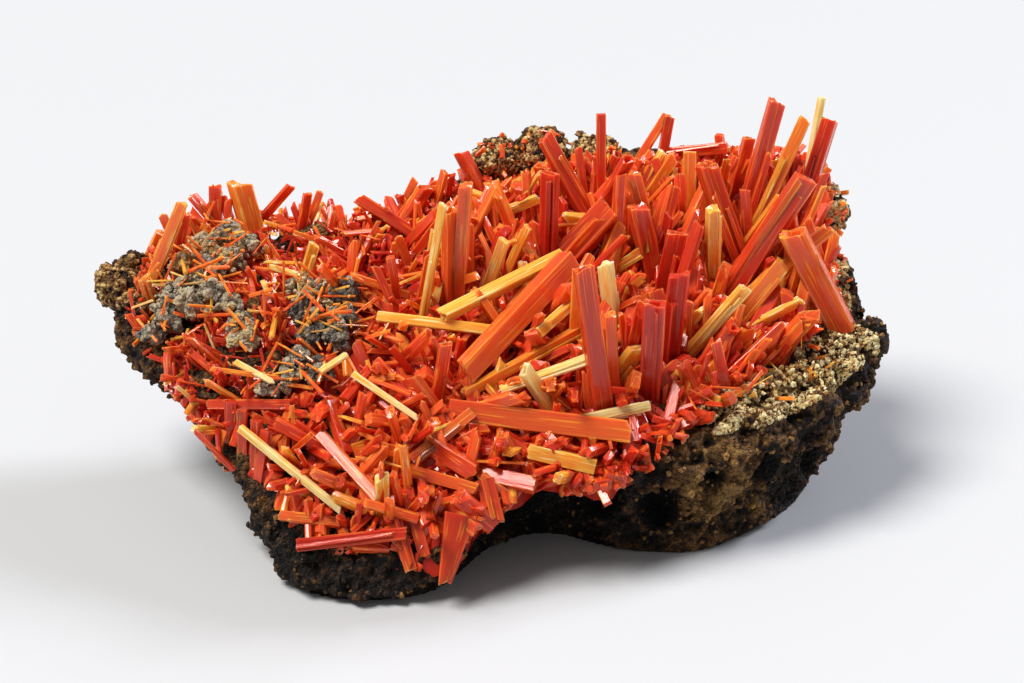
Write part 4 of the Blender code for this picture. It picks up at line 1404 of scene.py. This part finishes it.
def make_crystals(tree):
    """The thicket and its needles, from the druse up."""
    crocoite = crocoite_material("crocoite", 0.10, 200.0, (1.0, 0.55, 0.35), 0.75)
    small = crocoite_material("crocoite_small", 0.0, 0.0, (1.0, 0.50, 0.30), 0.45)
    pale = crocoite_material("crocoite_pale", 0.06, 60.0, (1.0, 0.90, 0.75), 0.6)
    make_druse(small)
    rng = random.Random("growth")
    large, beside, medium = Sorted(), Sorted(), Sorted()
    for ends in crystal_ends():
        add_growth(large, beside, *ends, rng)
    sprays(medium, random.Random("spray"))
    companions(medium, random.Random("companion"))
    straws(medium, random.Random("straw"))
    for lumps in (LEFT_CRUST, MIDDLE_CRUST, LOWER_CRUST):
        crust_needles(medium, lumps, CRUST_NEEDLES, random.Random("needle"))
    crust_needles(medium, RIM_CRUST[:-2], RIM_NEEDLES, random.Random("rim_needle"))
    for name, patch, *_ in BROWN_PATCHES[:2]:
        plates(medium, tree, patch, random.Random(name))
    thicket = large.red.piece("large_prisms", crocoite, "crocoite")
    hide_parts("crocoite_thicket")
    large.gold.piece("gold_prisms", pale, "crocoite_pale")
    beside.red.piece("parallel_prisms", crocoite, "crocoite")
    beside.gold.piece("parallel_gold_prisms", pale, "crocoite_pale")
    medium.red.piece("medium_prisms", small, "crocoite")
    medium.gold.piece("gold_needles", pale, "crocoite_pale")
    batches = small_crystals(random.Random("small"))
    tablets(batches[0], random.Random("tablet"))
    edge_crystals(batches[1], random.Random("edge"))
    for i, batch in enumerate(batches):
        batch.piece(f"small_prisms_{i + 1}", small, "crocoite")
    for name, (start, end, width, first, second) in LOOSE_NEEDLES.items():
        batch = Batch()
        rng = random.Random(name)
        a, b = on_surface(start, first), on_surface(end, second)
        add_crystal(batch, a, b, width, PALE, rng, LARGE_SIDE, bevel=0.1)
        needle = batch.piece(name.replace("loose_", ""), pale, "crocoite_pale")
        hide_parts(name)


# The granular crusts: name, lumps, the range of their tones
GREY_CRUSTS = (
    ("left", LEFT_CRUST, (0.32, 0.92)), ("middle", MIDDLE_CRUST, (0.08, 0.80)),
    ("lower", LOWER_CRUST, (0.25, 0.65)),
)

# The cream crust: its grains' number, sizes and tones, and the grains on each of its lumps
RIM_GRAINS = 5800
RIM_GRAIN_SIZES = (0.08, 0.24)
RIM_TONES = (-0.1, 1.0)
RIM_LUMP_GRAINS = 90
RIM_LUMP_SIZES = (0.09, 0.28)
RIM_LUMP_REACH = (0.6, 0.95)
BROWN_GRAIN_SIZES = (0.10, 0.30)


def make_crusts(tree):
    """The grey and cream crusts, and the grains on bare rock."""
    grey = stone_material("grey_crust", GREY_COLOURS, 500.0, 2800.0, 1.0, 0.0003, "tone", 0.75)
    cream = stone_material("cream_crust", CREAM_COLOURS, 700.0, 3500.0, 0.6, 0.0002, "tone", 0.75)
    for name, lumps, tones in GREY_CRUSTS:
        batch = crust_batch(lumps, tones, random.Random(name))
        crust = batch.piece(f"grey_grains_{name}", grey, "grey_crust")
        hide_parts(f"grey_crust_{name}")
    batch = patch_grains(tree, RIM_PATCH, RIM_GRAINS, RIM_GRAIN_SIZES, RIM_TONES, random.Random("rim"))
    rng = random.Random("lump")
    for pixel, radius, raise_by in RIM_CRUST:
        centre = on_surface(pixel, raise_by)
        for _ in range(RIM_LUMP_GRAINS):
            way = scatter(rng, 1).normalized() * radius * rng.uniform(*RIM_LUMP_REACH)
            size = rng.uniform(*RIM_LUMP_SIZES)
            add_grain(batch, FINE_GRAIN, centre + way, size, rng.random(), rng)
    rim = batch.piece("cream_grains", cream, "cream_crust")
    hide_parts("cream_crust_rim")
    for name, patch, count, tones in BROWN_PATCHES:
        batch = patch_grains(tree, patch, count, BROWN_GRAIN_SIZES, tones, random.Random(name))
        batch.piece(f"{name}_grains", cream, "gossan")


def main():
    """The camera and studio, then the rock, the crystals and the crusts."""
    make_camera()
    make_stage()
    gossan = stone_material("gossan", GOSSAN_COLOURS, 170.0, 3000.0, 1.0, 0.0006, "rise", 0.38)
    loose = stone_material("gossan_grain", GOSSAN_COLOURS, 150.0, 3000.0, 0.8, 0.0002, "tone", 0.30)
    places, faces = make_rock(gossan)
    tree = BVHTree.FromPolygons(places, faces)
    rock_grains(places, faces, random.Random("rock")).piece("gossan_grains", loose, "gossan")
    make_crystals(tree)
    make_crusts(tree)


main()
